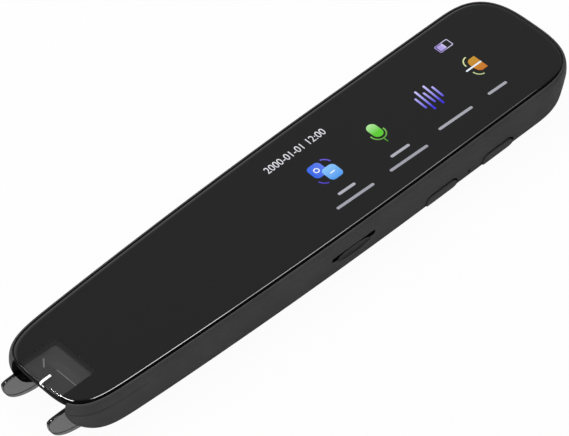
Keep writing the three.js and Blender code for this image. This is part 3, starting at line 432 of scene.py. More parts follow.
def printed_back():
    """Silk-screened black ink on the back of the glass, left out over the scan window, which is smoke tinted."""
    material, tree, out = new_material("silk_screened_black_ink")
    coords = add(tree, "ShaderNodeTexCoord").outputs["Object"]
    mesh_marks = add(tree, "ShaderNodeTexNoise", {"Vector": coords}, Scale=1 / (0.5 * MM), Detail=1.0)
    shade = ramp(tree, mesh_marks.outputs["Fac"], linear(0x1A1A1B), linear(0x202021))
    ink = add(tree, "ShaderNodeBsdfDiffuse", {"Color": shade.outputs["Color"]})
    clear = add(tree, "ShaderNodeBsdfTransparent", Color=linear(PANE_TINT))
    inked = outside_window(tree, coords, VIEW_FRONT, VIEW_END, VIEW_WIDTH / 2, VIEW_CORNER)
    whole = add(tree, "ShaderNodeMixShader", {0: inked, 1: clear.outputs[0], 2: ink.outputs[0]})
    tree.links.new(whole.outputs[0], out.inputs["Surface"])
    return material


def smoked(name, tint, roughness, straight, grazing):
    """Injection-moulded smoke-tinted polycarbonate: one sees through it, dimmed, with a soft gloss on top."""
    material, tree, out = new_material(name)
    coords = add(tree, "ShaderNodeTexCoord").outputs["Object"]
    flow = add(tree, "ShaderNodeTexNoise", {"Vector": coords}, Scale=1 / (2.2 * MM), Detail=2.0)
    bump = add(tree, "ShaderNodeBump", {"Height": flow.outputs["Fac"]}, Distance=0.01 * MM, Strength=0.6)
    clear = add(tree, "ShaderNodeBsdfTransparent", Color=linear(tint))
    shine = add(tree, "ShaderNodeBsdfGlossy", {"Normal": bump.outputs["Normal"]}, Color=(1, 1, 1, 1),
                Roughness=roughness)
    body = add(tree, "ShaderNodeMixShader",
               {0: edge_shine(tree, straight, grazing), 1: clear.outputs[0], 2: shine.outputs[0]})
    tree.links.new(body.outputs[0], out.inputs["Surface"])
    return material


glass_face = polished_glass()
glass_back = printed_back()
# The ground edge of the glass, matt near black: a painted dark reflection, a black line round the polished face
glass_edge_painted_dark = grained("ground_edge_painted_dark", 0x0A0A0B, 0.65, 0.4, 0.004, specular=0.2)
# The guide is clear and grey on its flat faces; its bevelled edges, seen edge on, get a nearly black painted shade
smoked_face = smoked("smoked_polycarbonate_moulded", 0xA9A9A9, 0.12, 0.012, 0.5)
smoked_painted_dark_edge = smoked("smoked_polycarbonate_painted_dark_edge", 0x303031, 0.10, 0.03, 1.0)


def lit(name, low_colour, high_colour, low, high, axis="Y"):
    """A part of the picture on the lit display, under the gloss of the glass. It runs from one colour to another
    and carries the faint raster of the pixels. These are 0.06 mm apart, too fine to show, and drawn at 0.3 mm."""
    material, tree, out = new_material(name)
    coords = add(tree, "ShaderNodeTexCoord").outputs["Object"]
    parts = add(tree, "ShaderNodeSeparateXYZ", {"Vector": coords})
    ends = [at(value, value, 0)["XY".index(axis)] for value in (low, high)]
    run = add(tree, "ShaderNodeMapRange", {"Value": parts.outputs[axis]}, From_Min=ends[0], From_Max=ends[1])
    shade = ramp(tree, run.outputs["Result"], linear(low_colour), linear(high_colour))
    raster = add(tree, "ShaderNodeTexNoise", {"Vector": coords}, Scale=1 / (0.3 * MM), Detail=0.0)
    level = add(tree, "ShaderNodeMapRange", {"Value": raster.outputs["Fac"]}, To_Min=0.88, To_Max=1.12)
    tone = add(tree, "ShaderNodeVectorMath", {0: shade.outputs["Color"], "Scale": level.outputs["Result"]},
               operation="SCALE")
    glow = add(tree, "ShaderNodeEmission", {"Color": tone.outputs["Vector"]}, Strength=1.0)
    shine = add(tree, "ShaderNodeBsdfGlossy", Color=(1, 1, 1, 1), Roughness=0.045)
    whole = add(tree, "ShaderNodeMixShader", {0: edge_shine(tree), 1: glow.outputs[0], 2: shine.outputs[0]})
    tree.links.new(whole.outputs[0], out.inputs["Surface"])
    return material


# ---------------------------------------------------------------- lower shell

FRAME_SIDE = 17.1
# The mouth of the nose and the stretch of the rim that is left out above it, each from side to side
MOUTH = (-8.7, 8.1)
BARE = (-8.95, 8.35)
MOUTH_DEPTH = 10.4
LIP_BOTTOM = 11.5
LIP_END = 1.4
NOSE_END = 6.0
# A place well ahead of the nose, where cutters start
AHEAD = -8.0
# Card slot: place, length, level and height. The scoop for the finger: length, depth, height and drop
SLOT = (78.5, 13.4, 8.05, 1.3)
SCOOP = (10.4, 0.70, 2.2, 1.05)
# Side buttons: length, level and height of the cap
BUTTON_PLACES = (106.6, 125.1)
BUTTON = (9.9, 4.05, 3.5)
BUTTON_PROUD = 0.26
BUTTON_BACK = -13.4
BUTTON_ROUNDING = 0.22
KEY_GAP = 0.42
# Microphone: place, level and radius of its hole
MICROPHONE = (115.6, 4.85, 0.4)
# Openings in the deck, under the display and the scan window: middle, length, width and corner
DISPLAY_BAY = (106.5, 70.9, 27.3, 0.8)
VIEW_BAY = (5.75, 10.7, 13.2, 1.2)
RIM_INNER = 0.56
# Charging port: setback from the tail of the glass, level, width, height and depth of its hole
PORT = (2.8, 6.7, 9.54, 3.8, 5.6)
# Speaker grille: middle, count and spacing of its slots, and their length and width
GRILLE = (133.0, 6, 1.9, 6.0, 0.9)


def edge_rings(offset, radius, bottom, steps):
    """Loops of the rounded lower edge, from the underside up."""
    loops = []
    for step in range(steps + 1):
        angle = math.pi / 2 * step / steps
        loops.append(ring(offset - radius * (1 - math.sin(angle)), bottom + radius * (1 - math.cos(angle))))
    return loops


def wall_rings(offset, low, high, steps):
    """Loops of the upright wall, low and high ends left out."""
    return [ring(offset, low + (high - low) * step / steps) for step in range(1, steps)]


def wall_hole(u, length, level, height):
    """A hole through the near side wall, as a cutter, with its walls painted near black as painted shade."""
    return painted_shade_faces(side_pill(u, length, level, height, -FRAME_SIDE - 2, -FRAME_SIDE + 4))


def lower_shell():
    """The tub of the housing with its mouth, slot, key holes, port and grille."""
    inside = SIDE_BULGE - WALL
    rings = [
        *edge_rings(SIDE_BULGE, EDGE_RADIUS, 0, 14),
        *wall_rings(SIDE_BULGE, EDGE_RADIUS, PARTING - PARTING_CHAMFER, 6),
        ring(SIDE_BULGE, PARTING - PARTING_CHAMFER),
        ring(SIDE_BULGE, PARTING - PARTING_CHAMFER * 0.3, PARTING_CHAMFER * 0.3),
        ring(SIDE_BULGE, PARTING, PARTING_CHAMFER),
        ring(inside, PARTING),
        *wall_rings(inside, PARTING, EDGE_RADIUS, 4),
        *reversed(edge_rings(inside, EDGE_RADIUS - WALL, WALL, 6)),
    ]
    shell = piece("lower_shell_moulding", lofted(rings), [shell_plastic, shade_painted_plastic], replaces=["lower_shell"])
    # The walls of the mouth, slot, key holes and microphone hole take the painted shade
    cutters = [painted_shade_faces(block(AHEAD, MOUTH_DEPTH, *MOUTH, -1, 15)), wall_hole(*SLOT)]
    u, _, level, _ = SLOT
    long, deep, tall, drop = SCOOP
    scoop = bmesh.new()
    bmesh.ops.create_uvsphere(scoop, u_segments=48, v_segments=24, radius=1.0)
    size = Matrix.Diagonal((long / 2 * MM, deep * MM, tall / 2 * MM, 1))
    side = -flank(u) - SIDE_BULGE
    bmesh.ops.transform(scoop, matrix=Matrix.Translation(at(u, side, level - drop)) @ size, verts=scoop.verts)
    cutters.append(scoop)
    length, level, height = BUTTON
    for place in BUTTON_PLACES:
        cutters.append(wall_hole(place, length + KEY_GAP * 2, level, height + KEY_GAP * 2))
    place, level, radius = MICROPHONE
    cutters.append(wall_hole(place, radius * 2.02, level, radius * 2))
    setback, level, width, height, deep = PORT
    outline = [at(GLASS_LENGTH - setback, a, level + b) for a, b in pill(width, height)]
    cutters.append(prism(outline, Vector((deep * MM, 0, 0))))
    middle, count, spacing, length, width = GRILLE
    for step in range(count):
        place = middle + (step - (count - 1) / 2) * spacing
        outline = [at(place + b, a, -1) for a, b in pill(length, width, 8)]
        cutters.append(prism(outline, Vector((0, 0, 4 * MM))))
    return cut(shell, cutters)


def upper_frame(steps=8):
    """The frame that carries the glass: a crowned rim, a deck, and openings for the display and the scan window."""
    inside = SIDE_BULGE - WALL
    foot, rise = PARTING + PARTING_CHAMFER, RIM_TOP - 0.05 - PARTING - PARTING_CHAMFER
    crown = []
    for step in range(steps + 1):
        angle = math.pi / 2 * step / steps
        crown.append(ring(RIM_INNER + (SIDE_BULGE - RIM_INNER) * math.cos(angle) ** 0.9,
                          foot + rise * math.sin(angle) ** 1.15))
    rings = [
        ring(inside, DECK_BOTTOM), ring(inside, PARTING + 0.05), ring(SIDE_BULGE, PARTING + 0.02, PARTING_CHAMFER),
        ring(SIDE_BULGE, PARTING + PARTING_CHAMFER * 0.7, PARTING_CHAMFER * 0.3),
        *crown, ring(0.50, RIM_TOP - 0.01), ring(SEAM + 0.04, RIM_TOP), ring(SEAM, RIM_TOP - 0.04),
        ring(SEAM, DECK_TOP),
    ]
    lid = piece("upper_frame_moulding", lofted(rings), [frame_plastic, shade_painted_plastic],
                replaces=["upper_frame"])
    openings = []
    for middle, *sizes in (DISPLAY_BAY, VIEW_BAY):
        openings.append([at(middle + a, b, DECK_BOTTOM - 1) for a, b in rounded_box(*sizes)])
    up = Vector((0, 0, 4 * MM))
    # Between the fins the rim is left out, and the deck ends flush with the edge of the glass
    front = [point + normal * 0.04 for point, normal in OUTLINE
             if point.x < NOSE_END and BARE[0] < point.y < BARE[1]]
    front.sort(key=lambda point: point.y)
    bare_front = [at(u, y, LIP_BOTTOM - 0.3) for u, y in ((AHEAD, BARE[1]), (AHEAD, BARE[0]), *front)]
    mouth = block(AHEAD, LIP_END, *MOUTH, 5, LIP_BOTTOM)
    # The cut faces of the mouth and of the bare front take the painted shade
    return cut(lid, [*[prism(outline, up) for outline in openings], painted_shade_faces(mouth), painted_shade_faces(prism(bare_front, up))])


def glass_edge(steps=16):
    """The rounded upper edge of the glass, as pairs of the way in from the edge and the level."""
    pairs = []
    for step in range(steps + 1):
        angle = math.pi / 2 * step / steps
        pairs.append((GLASS_EDGE_WIDTH * (1 - math.cos(angle)), GLASS_TOP - GLASS_EDGE_DROP * (1 - math.sin(angle))))
    return pairs


def cover_glass():
    bm = lofted([ring(-0.08, GLASS_BOTTOM), ring(0, GLASS_BOTTOM + 0.08),
                 *[ring(-inward, level) for inward, level in glass_edge()]])
    for face in bm.faces:
        # The sides and the steep part of the rounding take the matt near black of the painted dark reflection
        face.material_index = 1 if face.normal.z < -0.9 else 2 if face.normal.z < 0.6 else 0
    return piece("cover_glass_polished", bm, [glass_face, glass_back, glass_edge_painted_dark], sharp=60,
                 replaces=["cover_glass"])


# The fins: top, reach ahead of the glass, depth of the round tip, and their inner and outer faces from the middle
FIN_TOP, FIN_REACH, FIN_TIP = 9.3, 4.2, 0.9
FIN_INNER, FIN_OUTER = 6.9, 7.8
FIN_ROUNDING = 0.12
# Their lower edge bends through these points to the heel, behind which the rails run on to their end
FIN_BELLY = ((-FIN_REACH, 4.9), (-2.1, 1.5), (4.6, 0.5))
HEEL, HEEL_BOTTOM, RAIL_BOTTOM = 8.4, 0.5, 1.7
RAIL_STOP, RAIL_END, STOP_SIDE = 15.5, 17.0, 9.9
# The sloped window between the fins, from its foot to the glass
PANE = ((7.6, 0.2), (8.88, 0.2), (3.48, FIN_TOP), (2.2, FIN_TOP))


def fin_profile(steps=12):
    """The fin seen from the side, as pairs of place and level."""
    tip = FIN_TOP - FIN_TIP
    points = [(RAIL_END, FIN_TOP)]
    start, corner, end = (-FIN_REACH + FIN_TIP * 2, FIN_TOP), (-FIN_REACH, FIN_TOP), (-FIN_REACH, tip)
    for step in range(steps + 1):
        t = step / steps
        points.append(tuple((1 - t) ** 2 * s + 2 * t * (1 - t) * c + t * t * e
                            for s, c, e in zip(start, corner, end)))
    for step in range(1, 2 * steps + 1):
        t = step / (2 * steps)
        points.append(tuple((1 - t) ** 3 * p + 3 * t * (1 - t) ** 2 * q + 3 * t * t * (1 - t) * r + t ** 3 * s
                            for p, q, r, s in zip((-FIN_REACH, tip), *FIN_BELLY)))
    return points + [(HEEL, HEEL_BOTTOM), (HEEL, RAIL_BOTTOM), (RAIL_END, RAIL_BOTTOM)]


def scan_guide():
    """Two smoked fins with the sloped window between them. Their bevelled edges get the darker tint of painted shade.
    """
    bm = bmesh.new()
    for near in (FIN_INNER, -FIN_OUTER):
        fin = prism([at(u, near, z) for u, z in fin_profile()], Vector((0, (FIN_OUTER - FIN_INNER) * MM, 0)))
        rounded(fin, FIN_ROUNDING, 2, 50)
        for face in fin.faces:
            across = abs(face.normal.y)
            # Bevels and tops take the darker tint of painted shade
            face.material_index = 1 if 0.15 < across < 0.97 or across < 0.7 and face.normal.z > 0.1 else 0
        add_to(bm, fin)
        sides = sorted((math.copysign(FIN_INNER, near), math.copysign(STOP_SIDE, near)))
        add_to(bm, block(RAIL_STOP, RAIL_END, *sides, RAIL_BOTTOM, FIN_TOP))
    pane = [at(u, -FIN_INNER, z) for u, z in PANE]
    add_to(bm, prism(pane, Vector((0, 2 * FIN_INNER * MM, 0))))
    return piece("scan_guide_smoked", bm, [smoked_face, smoked_painted_dark_edge], body="scan_guide",
                 replaces=["scan_guide"])


def add_to(bm, other):
    """Puts another solid's faces into a bmesh and frees it."""
    mesh = bpy.data.meshes.new("spent")
    other.to_mesh(mesh)
    other.free()
    bm.from_mesh(mesh)
    bpy.data.meshes.remove(mesh)


def side_button(name, place):
    """A key cap cut to the curve of the wall, so that it stands out by the same amount all over."""
    length, level, height = BUTTON
    blank = side_pill(place, length, level, height, -FRAME_SIDE - 2, BUTTON_BACK)
    key = piece(name, blank, [key_plastic], body=None)
    out = SIDE_BULGE + BUTTON_PROUD
    grown = [*edge_rings(out, EDGE_RADIUS + BUTTON_PROUD, -BUTTON_PROUD, 14), ring(out, 7), ring(out, PARTING)]
    cut(key, [lofted(grown)], "INTERSECT")
    bm = rounded(lifted(key), BUTTON_ROUNDING, 3, 50)
    body = name.replace("_cap", "")
    return piece(name, bm, [key_plastic], body=body, replaces=[body])


lower_shell()
upper_frame()
cover_glass()
scan_guide()
for label, place in zip(("front", "rear"), BUTTON_PLACES):
    side_button(f"{label}_button_cap", place)


# ---------------------------------------------------------------- aiming mark and lit picture on the glass

# Pieces between the frame and the glass: matt black tape, clear and dark films, and a milky diffuser
inner = {
    "glass_tape": grained("acrylic_foam_tape", 0x1E1E1F, 0.9, 0.3, 0.02),
    "display_film": grained("clear_bonding_film", 0x202024, 0.2, 0.5, 0.001),
    "display_panel": grained("polished_display_glass", 0x0D0D10, 0.08, 0.8, 0.0005),
    "display_backlight": grained("diffuser_sheet", 0xE6E6E0, 0.5, 0.3, 0.004),
}

MARK_END = 2.95
MARK_SIDE = (-0.92, -0.34)
# How far the mark stands on the glass and how deep it goes in, so that it has no gap below it
MARK_LIFT, MARK_ROOT = 0.015, 0.05
# The short mark beside it on the front edge: its start and width
SHORT_MARK = (-1.75, 0.6)
PICTURE_BACK = GLASS_TOP - 0.02
PICTURE_LIFT = 0.012


def white_ink_with_painted_glow():
    """Fired white ceramic ink on the glass: an even, bright white with slightly thinner and thicker places.
    Its faint glow is painted light.
    """
    material, tree, out = new_material("fired_white_ink_painted_glow")
    coords = add(tree, "ShaderNodeTexCoord").outputs["Object"]
    coat = add(tree, "ShaderNodeTexNoise", {"Vector": coords}, Scale=1 / (0.6 * MM), Detail=2.0)
    tone = ramp(tree, coat.outputs["Fac"], linear(0xEDEDEB), linear(0xFFFFFF)).outputs["Color"]
    # The emission is painted light, a faint glow on the ink
    paint = add(tree, "ShaderNodeBsdfPrincipled", {"Base Color": tone, "Emission Color": tone},
                Roughness=0.3, Emission_Strength=0.35)
    tree.links.new(paint.outputs[0], out.inputs["Surface"])
    return material


def aiming_mark():
    """The white line on the glass that shows where the pen reads, turned over the front edge."""
    front, foot = -0.02, 12.36
    upper = [(inward + front, level + MARK_LIFT) for inward, level in glass_edge()]
    lower = [(inward + MARK_ROOT, level - MARK_ROOT) for inward, level in glass_edge()]
    outline = [(front, foot), *upper, (MARK_END, GLASS_TOP + MARK_LIFT), (MARK_END, GLASS_TOP - MARK_ROOT),
               *reversed(lower), (MARK_ROOT, foot)]
    bm = prism([at(u, MARK_SIDE[0], z) for u, z in outline], Vector((0, (MARK_SIDE[1] - MARK_SIDE[0]) * MM, 0)))
    side, width = SHORT_MARK
    add_to(bm, block(front, MARK_ROOT, side, side + width, 12.42, 12.84))
    return piece("aiming_mark", bm, [white_ink_with_painted_glow()])


# The cover under the scan window: its front and far end, half width, and the levels of its base plate
COVER_FRONT, COVER_END, COVER_SIDE = 0.45, 11.0, 6.55
COVER_BOTTOM, COVER_TOP = 11.6, 11.8
# The ledge in front ends here, with its half width and height, and a painted highlight runs along part of it
LEDGE_END, LEDGE_SIDE, LEDGE_HEIGHT = 5.3, 6.5, 0.25
HIGHLIGHT_WIDTH, HIGHLIGHT_SIDES, HIGHLIGHT_HEIGHT = 0.28, (-6.0, 0.2), 0.28
# The panel behind the ledge, with one corner cut off: its end, far side, cut and height
PANEL_END, PANEL_SIDE, PANEL_CUT, PANEL_HEIGHT = 7.6, 1.4, (5.6, 3.4), 0.1
# The short rib: length, width, place, side and turn, and its height on the ledge
RIB_SIZE, RIB_PLACE, RIB_HEIGHT = (2.5, 0.40), (4.7, 3.6, 50), 0.12


def bay_cover():
    """The moulded cover right under the scan window: a ledge in front, a panel behind it, and a short rib."""
    # Matt moulded nylon in three greys, painted light and shade as light falls on its steps, and a painted
    # highlight along one edge and on the rib
    dark = grained("moulded_cover_painted_shade", 0x404040, 0.6, 0.4, 0.004)
    pale = grained("moulded_cover_painted_half_light", 0x474747, 0.6, 0.4, 0.004)
    light = grained("moulded_cover_painted_light", 0x505050, 0.6, 0.4, 0.004)
    bright = grained("moulded_cover_painted_highlight", 0x929292, 0.5, 0.4, 0.004)
    bm = block(COVER_FRONT, COVER_END, -COVER_SIDE, COVER_SIDE, COVER_BOTTOM, COVER_TOP)
    ledge_top = COVER_TOP + LEDGE_HEIGHT
    panel = [(LEDGE_END, -LEDGE_SIDE), (PANEL_END, -LEDGE_SIDE), (PANEL_END, PANEL_SIDE), PANEL_CUT,
             (LEDGE_END, PANEL_CUT[1])]
    rib = placed(pill(*RIB_SIZE, 10), *RIB_PLACE)
    # Ledge in painted shade, base plate in painted half light, panel in painted light, strip and rib in painted
    # highlight
    parts = [
        (block(COVER_FRONT, LEDGE_END, -LEDGE_SIDE, LEDGE_SIDE, COVER_TOP, ledge_top), 0),
        (prism([at(u, y, COVER_TOP) for u, y in panel], Vector((0, 0, PANEL_HEIGHT * MM))), 2),
        (block(LEDGE_END, LEDGE_END + HIGHLIGHT_WIDTH, *HIGHLIGHT_SIDES, COVER_TOP, COVER_TOP + HIGHLIGHT_HEIGHT), 3),
        (prism([at(u, y, ledge_top) for u, y in rib], Vector((0, 0, RIB_HEIGHT * MM))), 3),
    ]
    for face in bm.faces:
        face.material_index = 1
    for solid, index in parts:
        for face in solid.faces:
            face.material_index = index
        add_to(bm, solid)
    return piece("scan_bay_cover", bm, [dark, pale, light, bright])


# The tape of the glass: its way in from the edge, width, and gap above and below. It stops beside the scan
# window, at this end and half width
SEAL_EDGE, SEAL_WIDTH, SEAL_GAP = 0.4, 1.5, 0.01
SEAL_STOP, SEAL_STOP_SIDE = 10.9, 6.4


def glass_seal():
    """The foam tape between the deck and the glass, left out over and in front of the scan window."""
    slab = lofted([ring(-SEAL_EDGE, DECK_TOP + SEAL_GAP), ring(-SEAL_EDGE, GLASS_BOTTOM - SEAL_GAP)])
    tape = piece("glass_tape_laid", slab, [inner["glass_tape"]], replaces=["glass_tape"])
    below, above = DECK_TOP - 1, GLASS_BOTTOM + 1
    hollow = lofted([ring(-SEAL_EDGE - SEAL_WIDTH, below), ring(-SEAL_EDGE - SEAL_WIDTH, above)])
    return cut(tape, [hollow, block(-1, SEAL_STOP, -SEAL_STOP_SIDE, SEAL_STOP_SIDE, below, above)])


CHEEK_WALL, CHEEK_GAP = 0.2, 0.05
# The lip strip: how far it stands out of the edge of the glass and goes in, and its height
LIP_OUT, LIP_IN, LIP_HEIGHT = 0.09, 0.1, 0.72


def mouth_cheeks():
    """The inner walls of the mouth beside the fins, and the lip of the deck between them. The front of the walls
    follows the swept front of the shell."""
    # The cheek walls and the lip are painted near black: painted shade of the mouth
    profile = [(0.3, 10.9), (0.45, 8.5), (1.25, 6.5), (2.35, 4.4), (4.0, 2.6), (6.05, 1.2), (8.1, 0.35),
               (10.6, 0.35), (10.6, 10.9)]
    bm = bmesh.new()
    for side in (MOUTH[0] - CHEEK_GAP - CHEEK_WALL, MOUTH[1] + CHEEK_GAP):
        add_to(bm, prism([at(u, side, z) for u, z in profile], Vector((0, CHEEK_WALL * MM, 0))))
    front = [(point, normal) for point, normal in OUTLINE
             if point.x < NOSE_END and BARE[0] + 0.1 < point.y < BARE[1] - 0.1]
    front.sort(key=lambda pair: pair[0].y)
    lip = [point + normal * LIP_OUT for point, normal in front]
    lip += [point - normal * LIP_IN for point, normal in reversed(front)]
    add_to(bm, prism([at(u, y, LIP_BOTTOM - 0.02) for u, y in lip], Vector((0, 0, LIP_HEIGHT * MM))))
    return piece("mouth_cheeks", bm, [shade_painted_plastic])


def shown(name, outlines, material, lift=PICTURE_LIFT):
    """A part of the lit picture: thin plates on the glass, from their outlines."""
    bm = bmesh.new()
    for outline in outlines:
        plate = prism([at(u, y, PICTURE_BACK) for u, y in outline],
                      Vector((0, 0, (GLASS_TOP + lift - PICTURE_BACK) * MM)))
        add_to(bm, plate)
    return piece(name, bm, [material])


def placed(outline, u, y, turn=0.0):
    """An outline turned about the origin and moved to its place on the glass."""
    c, s = math.cos(math.radians(turn)), math.sin(math.radians(turn))
    return [(u + a * c - b * s, y + a * s + b * c) for a, b in outline]


def stroke(u0, y0, u1, y1, width):
    """A round-ended stroke between two points."""
    length = math.hypot(u1 - u0, y1 - y0)
    turn = math.degrees(math.atan2(y1 - y0, u1 - u0))
    return placed(pill(length + width, width, 10), (u0 + u1) / 2, (y0 + y1) / 2, turn)


def arc(u, y, radius, width, start, end, steps=24):
    """A curved stroke about a point, between two angles in degrees."""
    angles = [math.radians(start + (end - start) * step / steps) for step in range(steps + 1)]
    outer = [(u + (radius + width / 2) * math.cos(a), y + (radius + width / 2) * math.sin(a)) for a in angles]
    under = [(u + (radius - width / 2) * math.cos(a), y + (radius - width / 2) * math.sin(a)) for a in angles]
    return outer + under[::-1]


def digits(name, text, u, y, length, height, material):
    """Plain digits, drawn flat, given a thickness and fitted into a rectangle on the glass."""
    curve = bpy.data.curves.new(name, "FONT")
    curve.body = text
    curve.extrude = 0.5
    flat = bpy.data.objects.new(name, curve)
    bpy.context.scene.collection.objects.link(flat)
    view = bpy.context.evaluated_depsgraph_get()
    mesh = bpy.data.meshes.new_from_object(flat.evaluated_get(view))
    bm = bmesh.new()
    bm.from_mesh(mesh)
    bpy.data.objects.remove(flat)
    bpy.data.curves.remove(curve)
    bpy.data.meshes.remove(mesh)
    bmesh.ops.remove_doubles(bm, verts=bm.verts, dist=0.0001)
    lows = [min(vert.co[axis] for vert in bm.verts) for axis in range(3)]
    highs = [max(vert.co[axis] for vert in bm.verts) for axis in range(3)]
    thick = GLASS_TOP + PICTURE_LIFT - PICTURE_BACK
    scales = [size * MM / (high - low) for size, low, high in zip((length, height, thick), lows, highs)]
    bmesh.ops.translate(bm, verts=bm.verts, vec=-Vector(lows))
    bmesh.ops.transform(bm, matrix=Matrix.Diagonal((*scales, 1)), verts=bm.verts)
    bmesh.ops.translate(bm, verts=bm.verts, vec=at(u, y, PICTURE_BACK))
    return piece(name, facing_out(bm), [material])


aiming_mark()
bay_cover()
glass_seal()
mouth_cheeks()

# The lit picture: a plain clock, bars where captions stand, and simple signs. Bars are place, side and length
pale_text = lit("lit_pale_text", 0xDADAE2, 0xF2F2F8, 8.5, 10.6)
caption_tone = lit("lit_caption_bars", 0x9C9CA6, 0xB6B6C0, -11.0, -6.0)
digits("clock_digits", "2000-01-01 12:00", 76.85, 8.55, 18.4, 2.0, pale_text)
CAPTIONS = [
    (86.25, -6.8, 5.2), (86.1, -9.75, 11.4), (103.15, -7.0, 5.8), (102.95, -10.0, 11.8),
    (119.45, -8.75, 10.7), (133.2, -8.85, 6.0),
]
shown("caption_bars", [placed(pill(length, 0.75, 10), u, y, -1.8) for u, y, length in CAPTIONS], caption_tone)

blue = lit("lit_tile_deep_blue", 0x2C63E8, 0x5C7CF0, 83.4, 87.4, "X")
sky = lit("lit_tile_sky_blue", 0x4F9CF2, 0x8CC8FF, -3.0, 1.2)
violet = lit("lit_violet_arcs", 0x4A3CC0, 0x6A5AD8, -2.5, 3.6)
white_light = lit("lit_white_dashes", 0xE6F2FF, 0xF8FCFF, -2.0, 3.0)
shown("tile_deep_blue", [placed(rounded_box(3.9, 4.1, 1.15), 85.45, 1.75)], blue, 0.010)
shown("tile_sky_blue", [placed(rounded_box(3.9, 4.15, 1.15), 87.65, -0.9)], sky, 0.016)
shown("tile_arcs", [arc(87.3, 1.3, 2.4, 0.36, 12, 72), arc(85.6, -0.4, 2.4, 0.36, 192, 252)], violet)
shown("tile_dashes", [arc(85.3, 1.85, 0.62, 0.28, 0, 175), arc(85.3, 1.85, 0.62, 0.28, 180, 355),
                      placed(pill(1.5, 0.34, 8), 87.65, -0.9)], white_light, 0.022)

leaf = lit("lit_green_capsule", 0x5ACC2C, 0xBDEFA8, 0.6, 3.9)
stem = lit("lit_green_stand", 0x3E9020, 0x86C860, -3.0, 0.8)
shown("speech_capsule", [placed(pill(4.45, 2.75, 24), 103.5, 1.4, 90)], leaf)
shown("speech_stand", [arc(103.4, 0.4, 2.0, 0.34, 172, 368), stroke(103.3, -1.75, 103.3, -2.95, 0.3)], stem)

wave = lit("lit_violet_bars", 0x3A30DA, 0xD2CCFF, -2.4, 3.5)
# Each bar of the wave: place of its near and far end, and its reach to either side
WAVE = [(117.0, 117.15, 1.75), (118.3, 118.7, 3.35), (119.85, 119.9, 1.75), (121.0, 121.4, 3.35),
        (122.5, 122.7, 1.75)]
shown("wave_bars", [stroke(low, -reach, high, reach, 0.55) for low, high, reach in WAVE], wave)

lavender = lit("lit_lavender_charge", 0xB4A2EA, 0xDCD4F6, 133.6, 134.6, "X")
shown("charge_outline", [
    stroke(132.45, 10.3, 135.85, 10.3, 0.2), stroke(132.45, 8.08, 135.85, 8.08, 0.2),
    stroke(132.15, 8.4, 132.15, 10.0, 0.2), stroke(136.15, 8.4, 136.15, 10.0, 0.2),
    arc(132.45, 10.0, 0.3, 0.2, 90, 180, 8), arc(132.45, 8.38, 0.3, 0.2, 180, 270, 8),
    arc(135.85, 10.0, 0.3, 0.2, 0, 90, 8), arc(135.85, 8.38, 0.3, 0.2, 270, 360, 8),
], lavender)
shown("charge_level", [placed(rounded_box(1.9, 1.65, 0.2, 4), 133.45, 9.19)], lavender)

amber = lit("lit_amber_page", 0xC8701C, 0xC8962C, -2.5, 2.1)
cream = lit("lit_cream_arcs", 0xB8C890, 0xE0E8A8, -3.6, 3.2)
page = [(136.8, -2.45), (136.8, 2.05), (135.0, 2.05), (134.3, 1.6), (134.0, 0.8), (134.0, -0.9), (134.3, -1.9),
        (135.0, -2.45)]
shown("page_shape", [page], amber, 0.010)
shown("page_line", [stroke(132.1, -0.22, 136.6, -0.28, 0.46)], white_light, 0.020)
shown("page_arcs", [arc(135.1, 1.05, 2.0, 0.32, 90, 185), arc(134.9, -1.5, 2.0, 0.32, 178, 262)], cream)


# ---------------------------------------------------------------- finishes of the CAD nodes inside

# Each is named for its stuff: bright tinned steel, green laminate, amber lead film, foil, matt nylon, foam, glass
tinned = grained("tinned_sheet_steel", 0xB9BCC0, 0.32, 0.35, 0.003, metallic=1.0, stretch=(0.25, 1, 1))
laminate = grained("solder_masked_laminate", 0x1D5A38, 0.42, 0.5, 0.01, tone=0.2, patch_mm=3.0)
film = grained("polyimide_lead_film", 0xB8782F, 0.35, 0.6, 0.004, tone=0.15, patch_mm=2.0)
pouch = grained("aluminium_foil_pouch", 0xB7BAC0, 0.38, 1.2, 0.02, metallic=0.7)
black_part = grained("moulded_black_nylon", 0x161617, 0.6, 0.4, 0.006)
optics = grained("moulded_matt_baffle", 0x3A3A3C, 0.6, 0.4, 0.006)
foam = grained("open_cell_foam", 0x202022, 0.95, 0.35, 0.06, tone=0.3, patch_mm=1.0)
white_part = grained("moulded_white_nylon", 0xE8E8E0, 0.5, 0.4, 0.004)
coated = grained("coated_lens_glass", 0x4B5A6E, 0.06, 0.8, 0.0005)
FINISHES = {
    "shell_plastic": shell_plastic, "frame_plastic": frame_plastic, "dark_glass": inner["display_panel"],
    "smoky_plastic": inner["display_film"], "black_plastic": black_part, "black_foam": foam,
    "sheet_steel": tinned, "board_laminate": laminate, "lead_film": film, "cell_pouch": pouch,
    "white_plastic": white_part, "lens_glass": coated,
}
for name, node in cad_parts.items():
    slots = [slot.material.name.split(".")[0] for slot in node.material_slots if slot.material]
    finish = FINISHES.get(slots[0]) if slots else None
    if name in inner:
        finish = inner[name]
    if name == "optics_housing":
        finish = optics
    node.data.materials.clear()
    node.data.materials.append(finish or black_part)


# ---------------------------------------------------------------- stage, light and camera

# The camera as solved from the outline: place, aim, focal length in pixels of the picture, and roll
CAMERA = Vector((-368.41, -373.42, 592.33)) * MM
TARGET = Vector((2.912, 5.247, 0.0)) * MM
PICTURE_WIDTH, FOCAL_PIXELS = 569, 3500
SENSOR = 36
ROLL = 0.09
STRIP_HEIGHT = 0.7

